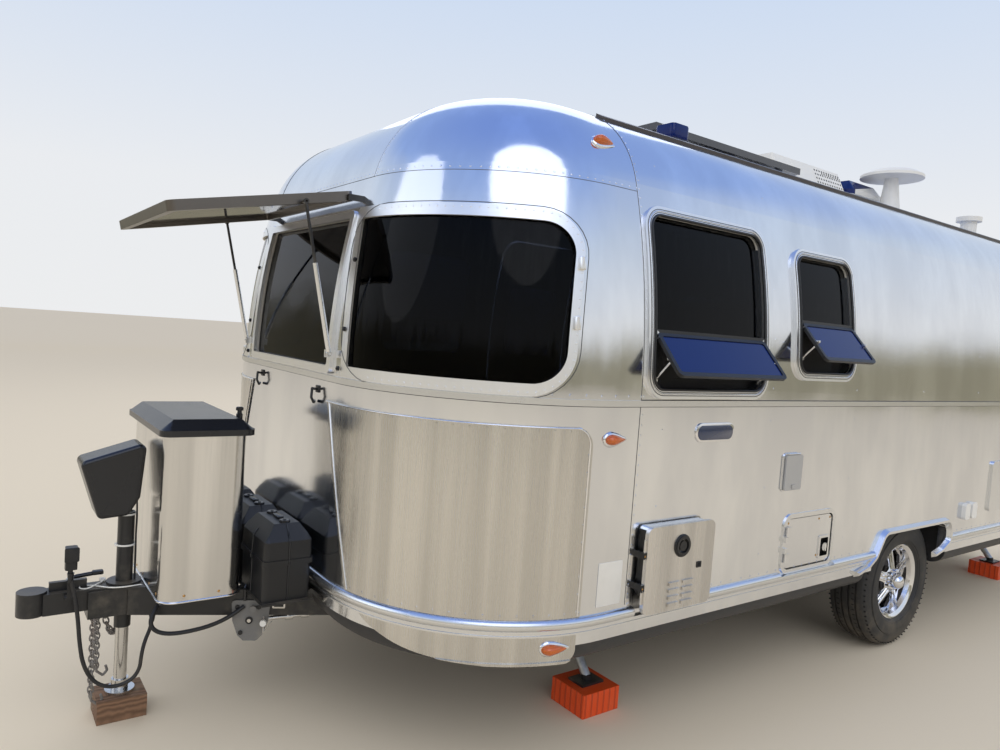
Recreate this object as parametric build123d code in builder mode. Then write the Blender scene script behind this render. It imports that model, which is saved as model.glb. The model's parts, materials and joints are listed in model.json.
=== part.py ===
# Travel caravan of riveted aluminium: millimetres, +Z up, ground at z = 0, front toward -X, road side at -Y
import os
from math import asin, cos, radians, sin

from build123d import *

os.makedirs("parts", exist_ok=True)

LEFT, RIGHT = -1, 1

# Body: half width at the belt line, wall thickness, heights of sill, floor and belt
HALF_WIDTH = 1222
WALL = 45
SILL_Z = 500
FLOOR_Z = 545
BELT_Z = 1340
DOME_SEAM_Z = 2090
ROOF_EDGE_Y = 880

# Above the belt the section is three arcs, each tangent to the last: radius, turn in degrees
LEAN_ARC = (2830, 16)
BROW_ARC = (440, 53)
CROWN_ARC = (968, 21)
SECTION_ARCS = (LEAN_ARC, BROW_ARC, CROWN_ARC)

# The ends are the same section turned about upright axes
FRONT_AXIS_X = -1680
REAR_AXIS_X = 2518
FRONT_SEAM_X = -1570
REAR_SEAM_X = 2410
MID_X = (FRONT_AXIS_X + REAR_AXIS_X) / 2


def section_size():
    """Distance in from the belt line, and height above it, at which the section becomes level."""
    inward, height, angle = 0, 0, 0
    for radius, turn in SECTION_ARCS:
        after = angle + turn
        inward += radius * (cos(radians(angle)) - cos(radians(after)))
        height += radius * (sin(radians(after)) - sin(radians(angle)))
        angle = after
    return inward, height


CORNER_R, CROWN_RISE = section_size()
CORNER_Y = HALF_WIDTH - CORNER_R
ROOF_Z = BELT_Z + CROWN_RISE
FRONT_X = FRONT_AXIS_X - CORNER_R
REAR_X = REAR_AXIS_X + CORNER_R

# Running gear
AXLE_X = 630
TYRE_R = 355
TYRE_FACE_Y = 1160
TYRE_WIDTH = 225
RIM_R = 205
WHEEL_Y = TYRE_FACE_Y - TYRE_WIDTH / 2

# Chassis and tongue: rail section, half angle of the tongue, and where its rails meet
RAIL_W = 50
RAIL_BOTTOM_Z = 400
RAIL_TOP_Z = 500
CHASSIS_RAIL_Y = 600
TONGUE_ANGLE = 25.5
TONGUE_TIP_X = -2990
JACK_X = -2995
COUPLER_TIP_X = -3340
BUMPER_X = 3340
PAN_BOTTOM_Z = 415

# Wheel opening in the side wall and the box behind it
ARCH_FRONT_X = 170
ARCH_REAR_X = 975
ARCH_TOP_Z = 668
WELL_INNER_Y = 905
WELL_TOP_Z = 742
WELL_SHEET = 20

# Windows in the side walls: side, x from, x to, z from, z to, height of the lower pane's hinge
SIDE_WINDOWS = (
    (LEFT, -1560, -845, 1355, 2050, 1585),
    (LEFT, -654, -170, 1438, 2005, 1677),
    (RIGHT, -1420, -760, 1355, 2050, 1585),
    (RIGHT, 1300, 1784, 1438, 2005, 1677),
)
FRAME_W = 36
FRAME_PROUD = 14
FRAME_R = 88
PANE_ANGLE = 41
GLASS_INSET = 10
GLASS_T = 6

# End windows: half width, z from, z to, with nearly square corners
END_WINDOW = (455, 1354, 1965)
END_WINDOW_R = 12
# Corner windows in front, seen square on along the diagonal: centre off the corner axis, width, z from, z to
WRAP_WINDOW = (64, 792, 1392, 1932)
WRAP_FLANGE = 42
WRAP_FLANGE_PROUD = 4

# Window guard over the front window, open as in the photograph
GUARD_HINGE = (-2373, 2006)
GUARD_LENGTH = 632
GUARD_HALF_W = 452
GUARD_OUTSIDE = 24
GUARD_INSIDE = 12
GUARD_DIP = 11.9
GUARD_CLOSING = 70.9
STRUT_FOOT = (-2430, 1430)
STRUT_Y = 480
STRUT_EYE_ALONG = 180
STRUT_EYE_DROP = 6
STRUT_TUBE = 330

# Doors in the side walls: x from, x to, z from, z to
ENTRY_DOOR = (-550, 100, 565, 2170)
DOOR_GAP = 12
HATCH = (-600, -240, 612, 828)
HATCH_GAP = 10
HATCH_REVEAL = 5
HEATER = (-1518, -1145, 571, 893)
INLET = (-670, -535, 957, 1122)

# Entry step
STEP_PIVOT = (1000, 372)
STEP_ARM = 235

# Gas cover on the tongue
COVER_X = (-2930, -2640)
COVER_HALF_Y = 298
COVER_Z = (505, 1107.5)
COVER_R = 60
COVER_SHEET = 5
LID_X = (-2952, -2622)
LID_HALF_Y = 320
LID_Z = (1108, 1165)
LID_HINGE = (-2614, 1104)


def save(part, name):
    """Label a finished piece and write it."""
    part.label = name
    export_step(part, f"parts/{name}.step")


def wall_y(z):
    """Distance of the side wall's outer face from the middle, up to the end of the leaning arc."""
    radius = LEAN_ARC[0]
    if z <= BELT_Z:
        return HALF_WIDTH
    return HALF_WIDTH - radius * (1 - cos(asin((z - BELT_Z) / radius)))


def end_x(z):
    """Reach of the front end's middle panel at a height."""
    return FRONT_X + HALF_WIDTH - wall_y(z)


def block(x, y, z, mode=Mode.ADD):
    """A box that spans the given x, y and z, in the open part."""
    spans = (x, y, z)
    with Locations(tuple((low + high) / 2 for low, high in spans)):
        Box(*(high - low for low, high in spans), mode=mode)


def rod(start, end, radius, mode=Mode.ADD):
    """A round bar between two points, in the open part."""
    run = Vector(*end) - Vector(*start)
    with BuildSketch(Plane(origin=start, z_dir=run)) as disc:
        Circle(radius)
    extrude(disc.sketch, amount=run.length, mode=mode)


def side_plane(side, x, z, y=HALF_WIDTH):
    """Upright plane on a side of the body, facing outwards, its own y upwards."""
    return Plane(origin=(x, side * y, z), x_dir=(-side, 0, 0), z_dir=(0, side, 0))


def corner_plane(side, z):
    """Upright plane through a front corner axis, facing out along the diagonal."""
    return Plane(
        origin=(FRONT_AXIS_X, side * CORNER_Y, z), x_dir=(-side, -1, 0), z_dir=(-1, side, 0)
    )


def end_plane(end, z):
    """Upright plane across the front (-1) or rear (+1) end, facing outwards."""
    axis_x = FRONT_AXIS_X if end < 0 else REAR_AXIS_X
    return Plane(origin=(axis_x, 0, z), x_dir=(0, end, 0), z_dir=(end, 0, 0))


def pane_prism(plane, width, height, radius, centre=0, depth=400, both=True):
    """A rounded rectangle carried through the wall."""
    with BuildPart() as prism:
        with BuildSketch(plane):
            with Locations((centre, 0)):
                RectangleRounded(width, height, radius)
        extrude(amount=depth, both=both)
    return prism.part


def outline(inset, bottom):
    """Outer line of the body at an inset, from the bottom up to the crown, in the open line."""
    piece = Line((CORNER_R - inset, bottom), (CORNER_R - inset, BELT_Z))
    for radius, turn in SECTION_ARCS:
        piece = JernArc(piece @ 1, piece % 1, radius - inset, turn)
    return piece @ 1


def wall_section(outer, inner, bottom=SILL_Z):
    """Section of a skin between two insets from the body's outer face."""
    with BuildSketch() as section:
        with BuildLine():
            outer_top = outline(outer, bottom)
            inner_top = outline(inner, bottom)
            Line(outer_top, inner_top)
            Line((CORNER_R - outer, bottom), (CORNER_R - inner, bottom))
        make_face()
    return section.sketch


def band_section(reach, z_low, z_high, depth=0):
    """Section of a flat band on the lower, upright part of the body."""
    with BuildSketch() as section:
        with Locations((CORNER_R - depth, z_low)):
            Rectangle(reach + depth, z_high - z_low, align=(Align.MIN, Align.MIN))
    return section.sketch


def around(section):
    """Carry a section, drawn as distance outwards and height, all the way round the body."""
    side = Plane(origin=(FRONT_AXIS_X, CORNER_Y, 0), x_dir=(0, 1, 0), z_dir=(1, 0, 0))
    front = Plane(origin=(FRONT_AXIS_X, 0, 0), x_dir=(-1, 0, 0), z_dir=(0, 1, 0))
    with BuildPart() as band:
        with BuildSketch(side):
            add(section)
        extrude(amount=MID_X - FRONT_AXIS_X)
        with BuildSketch(side):
            add(section)
        revolve(axis=Axis((FRONT_AXIS_X, CORNER_Y, 0), (0, 0, 1)), revolution_arc=90)
        with BuildSketch(front):
            add(section)
        extrude(amount=CORNER_Y)
        mirror(about=Plane.XZ)
        mirror(about=Plane(origin=(MID_X, 0, 0), z_dir=(1, 0, 0)))
    return band.part


# Skins that several pieces are cut from
wall_skin = around(wall_section(0, WALL))
frame_skin = around(wall_section(-FRAME_PROUD, 0, 1300))
flange_skin = around(wall_section(-WRAP_FLANGE_PROUD, 0, 1300))
glass_skin = around(wall_section(GLASS_INSET, GLASS_INSET + GLASS_T, 1300))
screen_skin = around(wall_section(34, 38, 1300))
mullion_skin = around(wall_section(-FRAME_PROUD, 16, 1300))
arm_skin = around(wall_section(-36, 0, 1200))


# Holes that the windows need, and the outlines of their frames
def side_window_prism(row, margin, radius):
    """Prism of a side window's outline, taken in by a margin."""
    side, x_low, x_high, z_low, z_high, _ = row
    plane = side_plane(side, (x_low + x_high) / 2, (z_low + z_high) / 2)
    return pane_prism(plane, x_high - x_low - 2 * margin, z_high - z_low - 2 * margin, radius)


def end_window_prism(end, margin, radius):
    """Prism of the window in the middle of an end, taken in by a margin."""
    half_w, z_low, z_high = END_WINDOW
    plane = end_plane(end, (z_low + z_high) / 2)
    size = (2 * (half_w - margin), z_high - z_low - 2 * margin)
    return pane_prism(plane, *size, radius, depth=900, both=False)


def wrap_window_prism(side, margin, radius):
    """Prism of a corner window, square in front and round behind; a margin is foreshortened by the turn."""
    offset, width, z_low, z_high = WRAP_WINDOW
    with BuildPart() as prism:
        with BuildSketch(corner_plane(side, (z_low + z_high) / 2)) as pane:
            with Locations((side * offset, 0)):
                Rectangle(width + 1.45 * margin, z_high - z_low + 2 * margin)
            fillet(pane.vertices().sort_by(Axis.X, reverse=side > 0)[2:], radius)
            fillet(pane.vertices().sort_by(Axis.X, reverse=side > 0)[:2], WRAP_FRONT_R)
        extrude(amount=1000)
    return prism.part


HOLE_R = FRAME_R - FRAME_W
END_FRAME_W = 30
WRAP_R = 110
WRAP_FRONT_R = 10
side_holes = [side_window_prism(row, FRAME_W, HOLE_R) for row in SIDE_WINDOWS]
end_holes = [end_window_prism(end, END_FRAME_W, END_WINDOW_R) for end in (-1, 1)]
wrap_holes = [wrap_window_prism(side, 0, WRAP_R) for side in (LEFT, RIGHT)]

FAR = 5000
BELOW_DOME = (0, DOME_SEAM_Z)
ABOVE_DOME = (DOME_SEAM_Z, FAR)


# Body panels
with BuildPart() as front_end:
    add(wall_skin)
    block((-FAR, FRONT_SEAM_X), (-FAR, FAR), BELOW_DOME, mode=Mode.INTERSECT)
    add(end_holes[0], mode=Mode.SUBTRACT)
    for hole in wrap_holes:
        add(hole, mode=Mode.SUBTRACT)
save(front_end.part, "front_end")

with BuildPart() as rear_end:
    add(wall_skin)
    block((REAR_SEAM_X, FAR), (-FAR, FAR), BELOW_DOME, mode=Mode.INTERSECT)
    add(end_holes[1], mode=Mode.SUBTRACT)
save(rear_end.part, "rear_end")

with BuildPart() as end_domes:
    add(wall_skin)
    block((-FAR, FAR), (-FAR, FAR), ABOVE_DOME, mode=Mode.INTERSECT)
    block((FRONT_AXIS_X, REAR_AXIS_X), (-CORNER_Y, CORNER_Y), (ROOF_Z - WALL, ROOF_Z))
    block((FRONT_SEAM_X, REAR_SEAM_X), (-FAR, FAR), ABOVE_DOME, mode=Mode.SUBTRACT)
save(end_domes.part, "end_domes")

with BuildPart() as roof:
    add(wall_skin)
    block((FRONT_SEAM_X, REAR_SEAM_X), (-ROOF_EDGE_Y, ROOF_EDGE_Y), (BELT_Z, FAR), mode=Mode.INTERSECT)
    block((FRONT_SEAM_X, REAR_SEAM_X), (-CORNER_Y, CORNER_Y), (ROOF_Z - WALL, ROOF_Z))
save(roof.part, "roof")


def arch_prism(margin, depth):
    """Wheel opening, with its front corner well rounded and its top level, wider by a margin."""
    front, rear, top = ARCH_FRONT_X - margin, ARCH_REAR_X + margin, ARCH_TOP_Z + margin
    with BuildPart() as arch:
        for side in (LEFT, RIGHT):
            with BuildSketch(Plane(origin=(0, side * HALF_WIDTH, 0), x_dir=(1, 0, 0), z_dir=(0, -1, 0))):
                with BuildLine():
                    FilletPolyline(
                        (front - 60, SILL_Z - 60),
                        (front + 95, top),
                        (rear, top),
                        (rear, SILL_Z - 60),
                        radius=70 + margin,
                        close=True,
                    )
                make_face()
            extrude(amount=depth, both=True)
    return arch.part


def entry_door_prism(gap):
    """Door outline on the kerb side, larger by a gap all round."""
    x_low, x_high, z_low, z_high = ENTRY_DOOR
    plane = side_plane(RIGHT, (x_low + x_high) / 2, (z_low + z_high) / 2)
    return pane_prism(plane, x_high - x_low + 2 * gap, z_high - z_low + 2 * gap, 110 + gap)


def hatch_prism(row, gap, radius, depth=400):
    """Outline of a small door in the road side, larger by a gap all round."""
    x_low, x_high, z_low, z_high = row
    plane = side_plane(LEFT, (x_low + x_high) / 2, (z_low + z_high) / 2)
    return pane_prism(plane, x_high - x_low + 2 * gap, z_high - z_low + 2 * gap, radius, depth=depth)


POCKET = 30
arch_hole = arch_prism(0, 100)
hatch_hole = hatch_prism(HATCH, HATCH_GAP, 40)
heater_pocket = hatch_prism(HEATER, -35, 10, POCKET)
inlet_pocket = hatch_prism(INLET, -22, 5, POCKET)
door_hole = entry_door_prism(DOOR_GAP)
door_shape = entry_door_prism(0)
hatch_shape = hatch_prism(HATCH, 0, 30)

# The entry door's hinge line leans in a little with the wall and stays outside it
DOOR_AXIS_X = ENTRY_DOOR[0] - DOOR_GAP / 2
DOOR_AXIS_LEAN = 0.04
DOOR_AXIS_PROUD = 12
DOOR_HINGES_Z = (800, 1200, 1800)
KNUCKLE = 32
KNUCKLE_R = 8


def door_axis(z):
    """Point of the entry door's hinge line at a height."""
    return (DOOR_AXIS_X, HALF_WIDTH + DOOR_AXIS_PROUD - DOOR_AXIS_LEAN * (z - BELT_Z), z)


def door_knuckle(z, toward):
    """One hinge knuckle and the leaf that ties it to the wall (-1) or to the door (+1)."""
    low, high = z - KNUCKLE / 2 + 0.5, z + KNUCKLE / 2 - 0.5
    rod(door_axis(low), door_axis(high), KNUCKLE_R)
    x_leaf = DOOR_AXIS_X + toward * 34
    y_out = door_axis(z)[1] + 3
    block(sorted((DOOR_AXIS_X, x_leaf)), (wall_y(z + KNUCKLE) - 6, y_out), (low + 1, high - 1))


with BuildPart() as wall_left:
    add(wall_skin)
    block((FRONT_SEAM_X, REAR_SEAM_X), (-FAR, -ROOF_EDGE_Y), (0, FAR), mode=Mode.INTERSECT)
    for row, hole in zip(SIDE_WINDOWS, side_holes):
        if row[0] == LEFT:
            add(hole, mode=Mode.SUBTRACT)
    for hole in (arch_hole, hatch_hole, heater_pocket, inlet_pocket):
        add(hole, mode=Mode.SUBTRACT)
save(wall_left.part, "wall_left")

with BuildPart() as wall_right:
    add(wall_skin)
    block((FRONT_SEAM_X, REAR_SEAM_X), (ROOF_EDGE_Y, FAR), (0, FAR), mode=Mode.INTERSECT)
    for row, hole in zip(SIDE_WINDOWS, side_holes):
        if row[0] == RIGHT:
            add(hole, mode=Mode.SUBTRACT)
    for hole in (arch_hole, door_hole):
        add(hole, mode=Mode.SUBTRACT)
    for z in DOOR_HINGES_Z:
        door_knuckle(z - KNUCKLE, -1)
        door_knuckle(z + KNUCKLE, -1)
save(wall_right.part, "wall_right")


# Entry door with its window, handle and grab bar
DOOR_WINDOW = (-430, -20, 1400, 1880)
x_low, x_high, z_low, z_high = DOOR_WINDOW
door_window_plane = side_plane(RIGHT, (x_low + x_high) / 2, (z_low + z_high) / 2)
door_window_hole = pane_prism(door_window_plane, x_high - x_low, z_high - z_low, 50)
HANDLE_Z = 1210

with BuildPart() as entry_door:
    add(wall_skin)
    add(door_shape, mode=Mode.INTERSECT)
    add(door_window_hole, mode=Mode.SUBTRACT)
    for z in DOOR_HINGES_Z:
        door_knuckle(z, 1)
    block((20, 80), (HALF_WIDTH - 5, HALF_WIDTH + 12), (HANDLE_Z - 70, HANDLE_Z + 70))
    block((40, 60), (HALF_WIDTH + 5, HALF_WIDTH + 45), (HANDLE_Z - 55, HANDLE_Z - 35))
    block((40, 60), (HALF_WIDTH + 5, HALF_WIDTH + 45), (HANDLE_Z + 35, HANDLE_Z + 55))
    block((40, 60), (HALF_WIDTH + 33, HALF_WIDTH + 45), (HANDLE_Z - 55, HANDLE_Z + 55))
save(entry_door.part, "entry_door")

with BuildPart() as door_glass:
    add(glass_skin)
    add(door_window_hole, mode=Mode.INTERSECT)
save(door_glass.part, "door_glass")


# Storage hatch in the road side, its fixed reveal, and the paddle latch
HATCH_HINGE = (HATCH[0] - HATCH_GAP / 2, -(HALF_WIDTH + 13))
LATCH_AT = (HATCH[1] - 52, HATCH[2] + 66)
with BuildPart() as storage_hatch:
    add(wall_skin)
    add(hatch_shape, mode=Mode.INTERSECT)
    with BuildSketch(side_plane(LEFT, *LATCH_AT)) as frame:
        RectangleRounded(84, 106, 8)
    extrude(frame.sketch, amount=5)
    with BuildSketch(side_plane(LEFT, *LATCH_AT, HALF_WIDTH + 5)) as recess:
        RectangleRounded(62, 84, 6)
    extrude(recess.sketch, amount=-24, mode=Mode.SUBTRACT)
    rod((LATCH_AT[0], -HALF_WIDTH + 20, LATCH_AT[1]), (LATCH_AT[0], -HALF_WIDTH - 8, LATCH_AT[1]), 19)
    block((LATCH_AT[0] - 5, LATCH_AT[0] + 5), (-HALF_WIDTH - 14, -HALF_WIDTH - 7), (LATCH_AT[1] - 18, LATCH_AT[1] + 18))
    for z in (662, 778):
        rod((*HATCH_HINGE, z - 20), (*HATCH_HINGE, z + 20), 5)
        block((HATCH_HINGE[0], HATCH[0] + 22), (HATCH_HINGE[1] - 3, 2 - HALF_WIDTH), (z - 20, z + 20))
save(storage_hatch.part, "storage_hatch")

# Heater door: a proud sheet with louvres and the exhaust port; inlet lid: a small one hinged above
HEATER_T = 16
HEATER_HINGE = (HEATER[0] - 6, -(HALF_WIDTH + 26 + HEATER_T / 2))
EXHAUST_AT = (-1331, 811)
LOUVRE_ROWS = 4
with BuildPart() as heater_door:
    face_y = HALF_WIDTH + 26
    plane = side_plane(LEFT, (HEATER[0] + HEATER[1]) / 2, (HEATER[2] + HEATER[3]) / 2, face_y)
    with BuildSketch(plane) as sheet:
        RectangleRounded(HEATER[1] - HEATER[0], HEATER[3] - HEATER[2], 28)
    extrude(sheet.sketch, amount=HEATER_T)
    outer_face = face_y + HEATER_T
    with BuildSketch(side_plane(LEFT, *EXHAUST_AT, outer_face)) as port:
        Circle(38)
    extrude(port.sketch, amount=9)
    with BuildSketch(side_plane(LEFT, *EXHAUST_AT, outer_face + 9)) as bore:
        Circle(27)
    extrude(bore.sketch, amount=-16, mode=Mode.SUBTRACT)
    rod((EXHAUST_AT[0], -outer_face + 8, EXHAUST_AT[1]), (EXHAUST_AT[0], -outer_face - 6, EXHAUST_AT[1]), 14)
    for row in range(LOUVRE_ROWS):
        for x in (-1392, -1316):
            z = 588 + row * 26
            block((x, x + 62), (-outer_face - 6, -outer_face + 4), (z, z + 12))
    for z in (636, 828):
        rod((*HEATER_HINGE, z - 22), (*HEATER_HINGE, z + 22), 4)
        block((HEATER_HINGE[0], HEATER[0] + 4), (HEATER_HINGE[1] - 3, HEATER_HINGE[1] + 3), (z - 22, z + 22))
save(heater_door.part, "heater_door")

INLET_HINGE = (-(HALF_WIDTH + 9), INLET[3] - 2)
with BuildPart() as inlet_lid:
    plane = side_plane(LEFT, (INLET[0] + INLET[1]) / 2, (INLET[2] + INLET[3]) / 2, HALF_WIDTH + 6)
    with BuildSketch(plane) as sheet:
        RectangleRounded(INLET[1] - INLET[0] - 13, INLET[3] - INLET[2] - 13, 10)
    extrude(sheet.sketch, amount=8)
    block((-615, -590), (-HALF_WIDTH - 20, -HALF_WIDTH - 12), (INLET[2] + 14, INLET[2] + 30))
save(inlet_lid.part, "inlet_lid")

with BuildPart() as side_fittings:
    # reveal round the storage hatch
    reveal_out = (HATCH[1] - HATCH[0] + 2 * (HATCH_REVEAL + 20), HATCH[3] - HATCH[2] + 2 * (HATCH_REVEAL + 20))
    reveal_in = (HATCH[1] - HATCH[0] + 2 * HATCH_REVEAL, HATCH[3] - HATCH[2] + 2 * HATCH_REVEAL)
    with BuildSketch(side_plane(LEFT, (HATCH[0] + HATCH[1]) / 2, (HATCH[2] + HATCH[3]) / 2)) as ring:
        RectangleRounded(*reveal_out, 52)
        RectangleRounded(*reveal_in, 34, mode=Mode.SUBTRACT)
    extrude(ring.sketch, amount=6)
    # heater surround and inlet surround, each flat on the wall behind its door
    with BuildSketch(side_plane(LEFT, (HEATER[0] + HEATER[1]) / 2, HEATER[2] + 187)) as ring:
        RectangleRounded(340, 262, 20)
        RectangleRounded(296, 214, 10, mode=Mode.SUBTRACT)
    extrude(ring.sketch, amount=20)
    with BuildSketch(side_plane(LEFT, (INLET[0] + INLET[1]) / 2, (INLET[2] + INLET[3]) / 2)) as ring:
        RectangleRounded(INLET[1] - INLET[0], INLET[3] - INLET[2], 14)
        RectangleRounded(INLET[1] - INLET[0] - 44, INLET[3] - INLET[2] - 44, 5, mode=Mode.SUBTRACT)
    extrude(ring.sketch, amount=5)
    # fixed knuckles of the heater door and of the hatch, and the inlet lid's hinge bar
    for z in (673, 791):
        rod((*HEATER_HINGE, z - 12), (*HEATER_HINGE, z + 12), 4)
        block((HEATER_HINGE[0] - 4, HEATER_HINGE[0] + 2), (HEATER_HINGE[1], -HALF_WIDTH), (z - 12, z + 12))
    for z in (696, 744):
        rod((*HATCH_HINGE, z - 12), (*HATCH_HINGE, z + 12), 5)
        block((HATCH_HINGE[0] - 14, HATCH_HINGE[0]), (HATCH_HINGE[1] - 3, -HALF_WIDTH - 4), (z - 12, z + 12))
    rod((INLET[0] + 25, *INLET_HINGE), (INLET[1] - 25, *INLET_HINGE), 4)
    # water fittings behind the wheel and the cooling vent after them
    for x in (1170, 1260):
        with BuildSketch(side_plane(LEFT, x, 717)) as cap:
            RectangleRounded(62, 92, 18)
        extrude(cap.sketch, amount=22)
    with BuildSketch(side_plane(LEFT, 1690, 840)) as vent:
        RectangleRounded(420, 300, 22)
    extrude(vent.sketch, amount=12)
save(side_fittings.part, "side_fittings")


# Window frames with their lower panes' rims, open on the stays
def pane_plane(row):
    """Plane of an open lower pane: its own y runs up the pane to the hinge."""
    side, x_low, x_high, _, _, hinge_z = row
    tilt = radians(PANE_ANGLE)
    origin = ((x_low + x_high) / 2, side * (wall_y(hinge_z) + 2), hinge_z)
    return Plane(origin=origin, x_dir=(-side, 0, 0), z_dir=(0, side * cos(tilt), sin(tilt)))


def pane_size(row):
    """Width and height of the lower pane."""
    _, x_low, x_high, z_low, _, hinge_z = row
    return x_high - x_low - 2 * FRAME_W - 6, hinge_z - z_low - FRAME_W - 2


RIM = 17
RIM_T = 13
frame_parts = []
for row, hole in zip(SIDE_WINDOWS, side_holes):
    side, x_low, x_high, z_low, z_high, hinge_z = row
    width, height = pane_size(row)
    outer_prism = side_window_prism(row, 0, FRAME_R)
    with BuildPart() as frame:
        add(frame_skin)
        add(outer_prism, mode=Mode.INTERSECT)
        add(hole, mode=Mode.SUBTRACT)
    with BuildPart() as mullion:
        add(mullion_skin)
        add(hole, mode=Mode.INTERSECT)
        block((-FAR, FAR), sorted((0, side * FAR)), (hinge_z - 2, hinge_z + 18), mode=Mode.INTERSECT)
    with BuildPart() as rim:
        with BuildSketch(pane_plane(row)) as ring:
            with Locations((0, -height / 2)):
                RectangleRounded(width, height, 24)
                RectangleRounded(width - 2 * RIM, height - 2 * RIM, 12, mode=Mode.SUBTRACT)
        extrude(ring.sketch, amount=RIM_T)
    frame_parts.append((frame.part, mullion.part, rim.part))

end_outlines = [end_window_prism(end, 0, END_WINDOW_R + 14) for end in (-1, 1)]
wrap_outlines = [wrap_window_prism(side, WRAP_FLANGE, WRAP_R + WRAP_FLANGE) for side in (LEFT, RIGHT)]

with BuildPart() as end_frame_ring:
    add(frame_skin)
    add(end_outlines[0] + end_outlines[1], mode=Mode.INTERSECT)
    for hole in end_holes:
        add(hole, mode=Mode.SUBTRACT)
with BuildPart() as wrap_flange_ring:
    add(flange_skin)
    add(wrap_outlines[0] + wrap_outlines[1], mode=Mode.INTERSECT)
    for hole in wrap_holes:
        add(hole, mode=Mode.SUBTRACT)
    for outline_prism in end_outlines:
        add(outline_prism, mode=Mode.SUBTRACT)

# Feet of the window guard's struts, flat on the front end
with BuildPart() as strut_feet:
    for side in (LEFT, RIGHT):
        y_tab = sorted((side * (STRUT_Y - 20), side * (STRUT_Y - 12)))
        block((STRUT_FOOT[0] - 10, end_x(STRUT_FOOT[1]) + 5), y_tab, (STRUT_FOOT[1] - 14, STRUT_FOOT[1] + 14))
        pin_ends = [(STRUT_FOOT[0], side * (STRUT_Y + reach), STRUT_FOOT[1]) for reach in (-14, 8)]
        rod(*pin_ends, 4)
    # brackets beyond the guard's ends that carry its hinge
    for side in (LEFT, RIGHT):
        y_span = sorted((side * (GUARD_HALF_W + 5), side * (GUARD_HALF_W + 15)))
        block((GUARD_HINGE[0] - 8, end_x(GUARD_HINGE[1]) + 30), y_span, (GUARD_HINGE[1] - 10, GUARD_HINGE[1] + 12))
    add(wall_skin, mode=Mode.SUBTRACT)

with BuildPart() as window_frames:
    for frame_set in frame_parts:
        for piece in frame_set:
            add(piece)
    add(end_frame_ring.part)
    add(wrap_flange_ring.part)
    add(strut_feet.part)
save(window_frames.part, "window_frames")

# Glass
side_glass_parts = []
for row, hole in zip(SIDE_WINDOWS, side_holes):
    side, x_low, x_high, z_low, z_high, hinge_z = row
    width, height = pane_size(row)
    with BuildPart() as upper:
        add(glass_skin)
        add(hole, mode=Mode.INTERSECT)
        block((-FAR, FAR), sorted((0, side * FAR)), (hinge_z + 18, FAR), mode=Mode.INTERSECT)
    plane = pane_plane(row)
    with BuildPart() as lower:
        with BuildSketch(plane.offset(4)) as pane:
            with Locations((0, -height / 2)):
                RectangleRounded(width - 2 * RIM, height - 2 * RIM, 12)
        extrude(pane.sketch, amount=5)
    side_glass_parts.append((upper.part, lower.part))

with BuildPart() as side_glass:
    for glass_set in side_glass_parts:
        for piece in glass_set:
            add(piece)
save(side_glass.part, "side_glass")

with BuildPart() as end_glass:
    add(glass_skin)
    add(end_holes[0] + end_holes[1] + wrap_holes[0] + wrap_holes[1], mode=Mode.INTERSECT)
save(end_glass.part, "end_glass")

screen_parts = []
for row, hole in zip(SIDE_WINDOWS, side_holes):
    with BuildPart() as screen:
        add(screen_skin)
        add(hole, mode=Mode.INTERSECT)
        block((-FAR, FAR), sorted((0, row[0] * FAR)), (0, row[5] + 10), mode=Mode.INTERSECT)
    screen_parts.append(screen.part)
with BuildPart() as insect_screens:
    for piece in screen_parts:
        add(piece)
save(insect_screens.part, "insect_screens")


# Trim: belt moulding, rub rail with its half-round bead over a flat strip, roof edge rails
belt_band = around(band_section(8, BELT_Z - 14, BELT_Z + 8))
BEAD_HALF = 20
RUB_RAIL_Z = (540, 600)
with BuildSketch() as rub_section:
    with BuildLine():
        bead_z = RUB_RAIL_Z[1] - BEAD_HALF
        ThreePointArc(
            (CORNER_R, RUB_RAIL_Z[1]), (CORNER_R + BEAD_HALF, bead_z), (CORNER_R + 3, bead_z - BEAD_HALF + 0.3)
        )
        strip = Polyline(
            (CORNER_R + 3, bead_z - BEAD_HALF + 0.3),
            (CORNER_R + 3, RUB_RAIL_Z[0] + 7),
            (CORNER_R + 6, RUB_RAIL_Z[0] + 6),
            (CORNER_R + 6, RUB_RAIL_Z[0]),
            (CORNER_R, RUB_RAIL_Z[0]),
            (CORNER_R, RUB_RAIL_Z[1]),
        )
    make_face()
rub_band = around(rub_section.sketch)
arch_trim_hole = arch_prism(30, 100)

# The lip round a wheel opening: flared forward at its front end and hooked forward behind the tyre
ARCH_LIP_W = 32
ARCH_LIP_LINE = ((6, 507), (110, 530), (176, 570), (252, 685), (992, 685), (990, 566), (905, 524), (815, 504))
with BuildPart() as arch_trim:
    for side in (LEFT, RIGHT):
        lip_plane = Plane(origin=(0, side * HALF_WIDTH, 0), x_dir=(-side, 0, 0), z_dir=(0, side, 0))
        lip_points = [(-side * x, z) for x, z in ARCH_LIP_LINE]
        with BuildSketch(lip_plane) as lip:
            with BuildLine() as lip_line:
                FilletPolyline(*lip_points, radius=(20, 40, 60, 60, 40, 26))
            trace(line_width=ARCH_LIP_W)
        extrude(lip.sketch, amount=24, taper=22)

with BuildPart() as rub_rail:
    add(rub_band)
    add(arch_trim_hole, mode=Mode.SUBTRACT)
    add(door_hole, mode=Mode.SUBTRACT)
    block((HEATER[0] - 14, HEATER[1] + 8), (-FAR, 0), (HEATER[2] - 7, 700), mode=Mode.SUBTRACT)
    block((HATCH[0] - 30, HATCH[1] + 30), (-FAR, 0), (HATCH[2] - 26, 700), mode=Mode.SUBTRACT)
    add(arch_trim.part)
save(rub_rail.part, "rub_rail")

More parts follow.
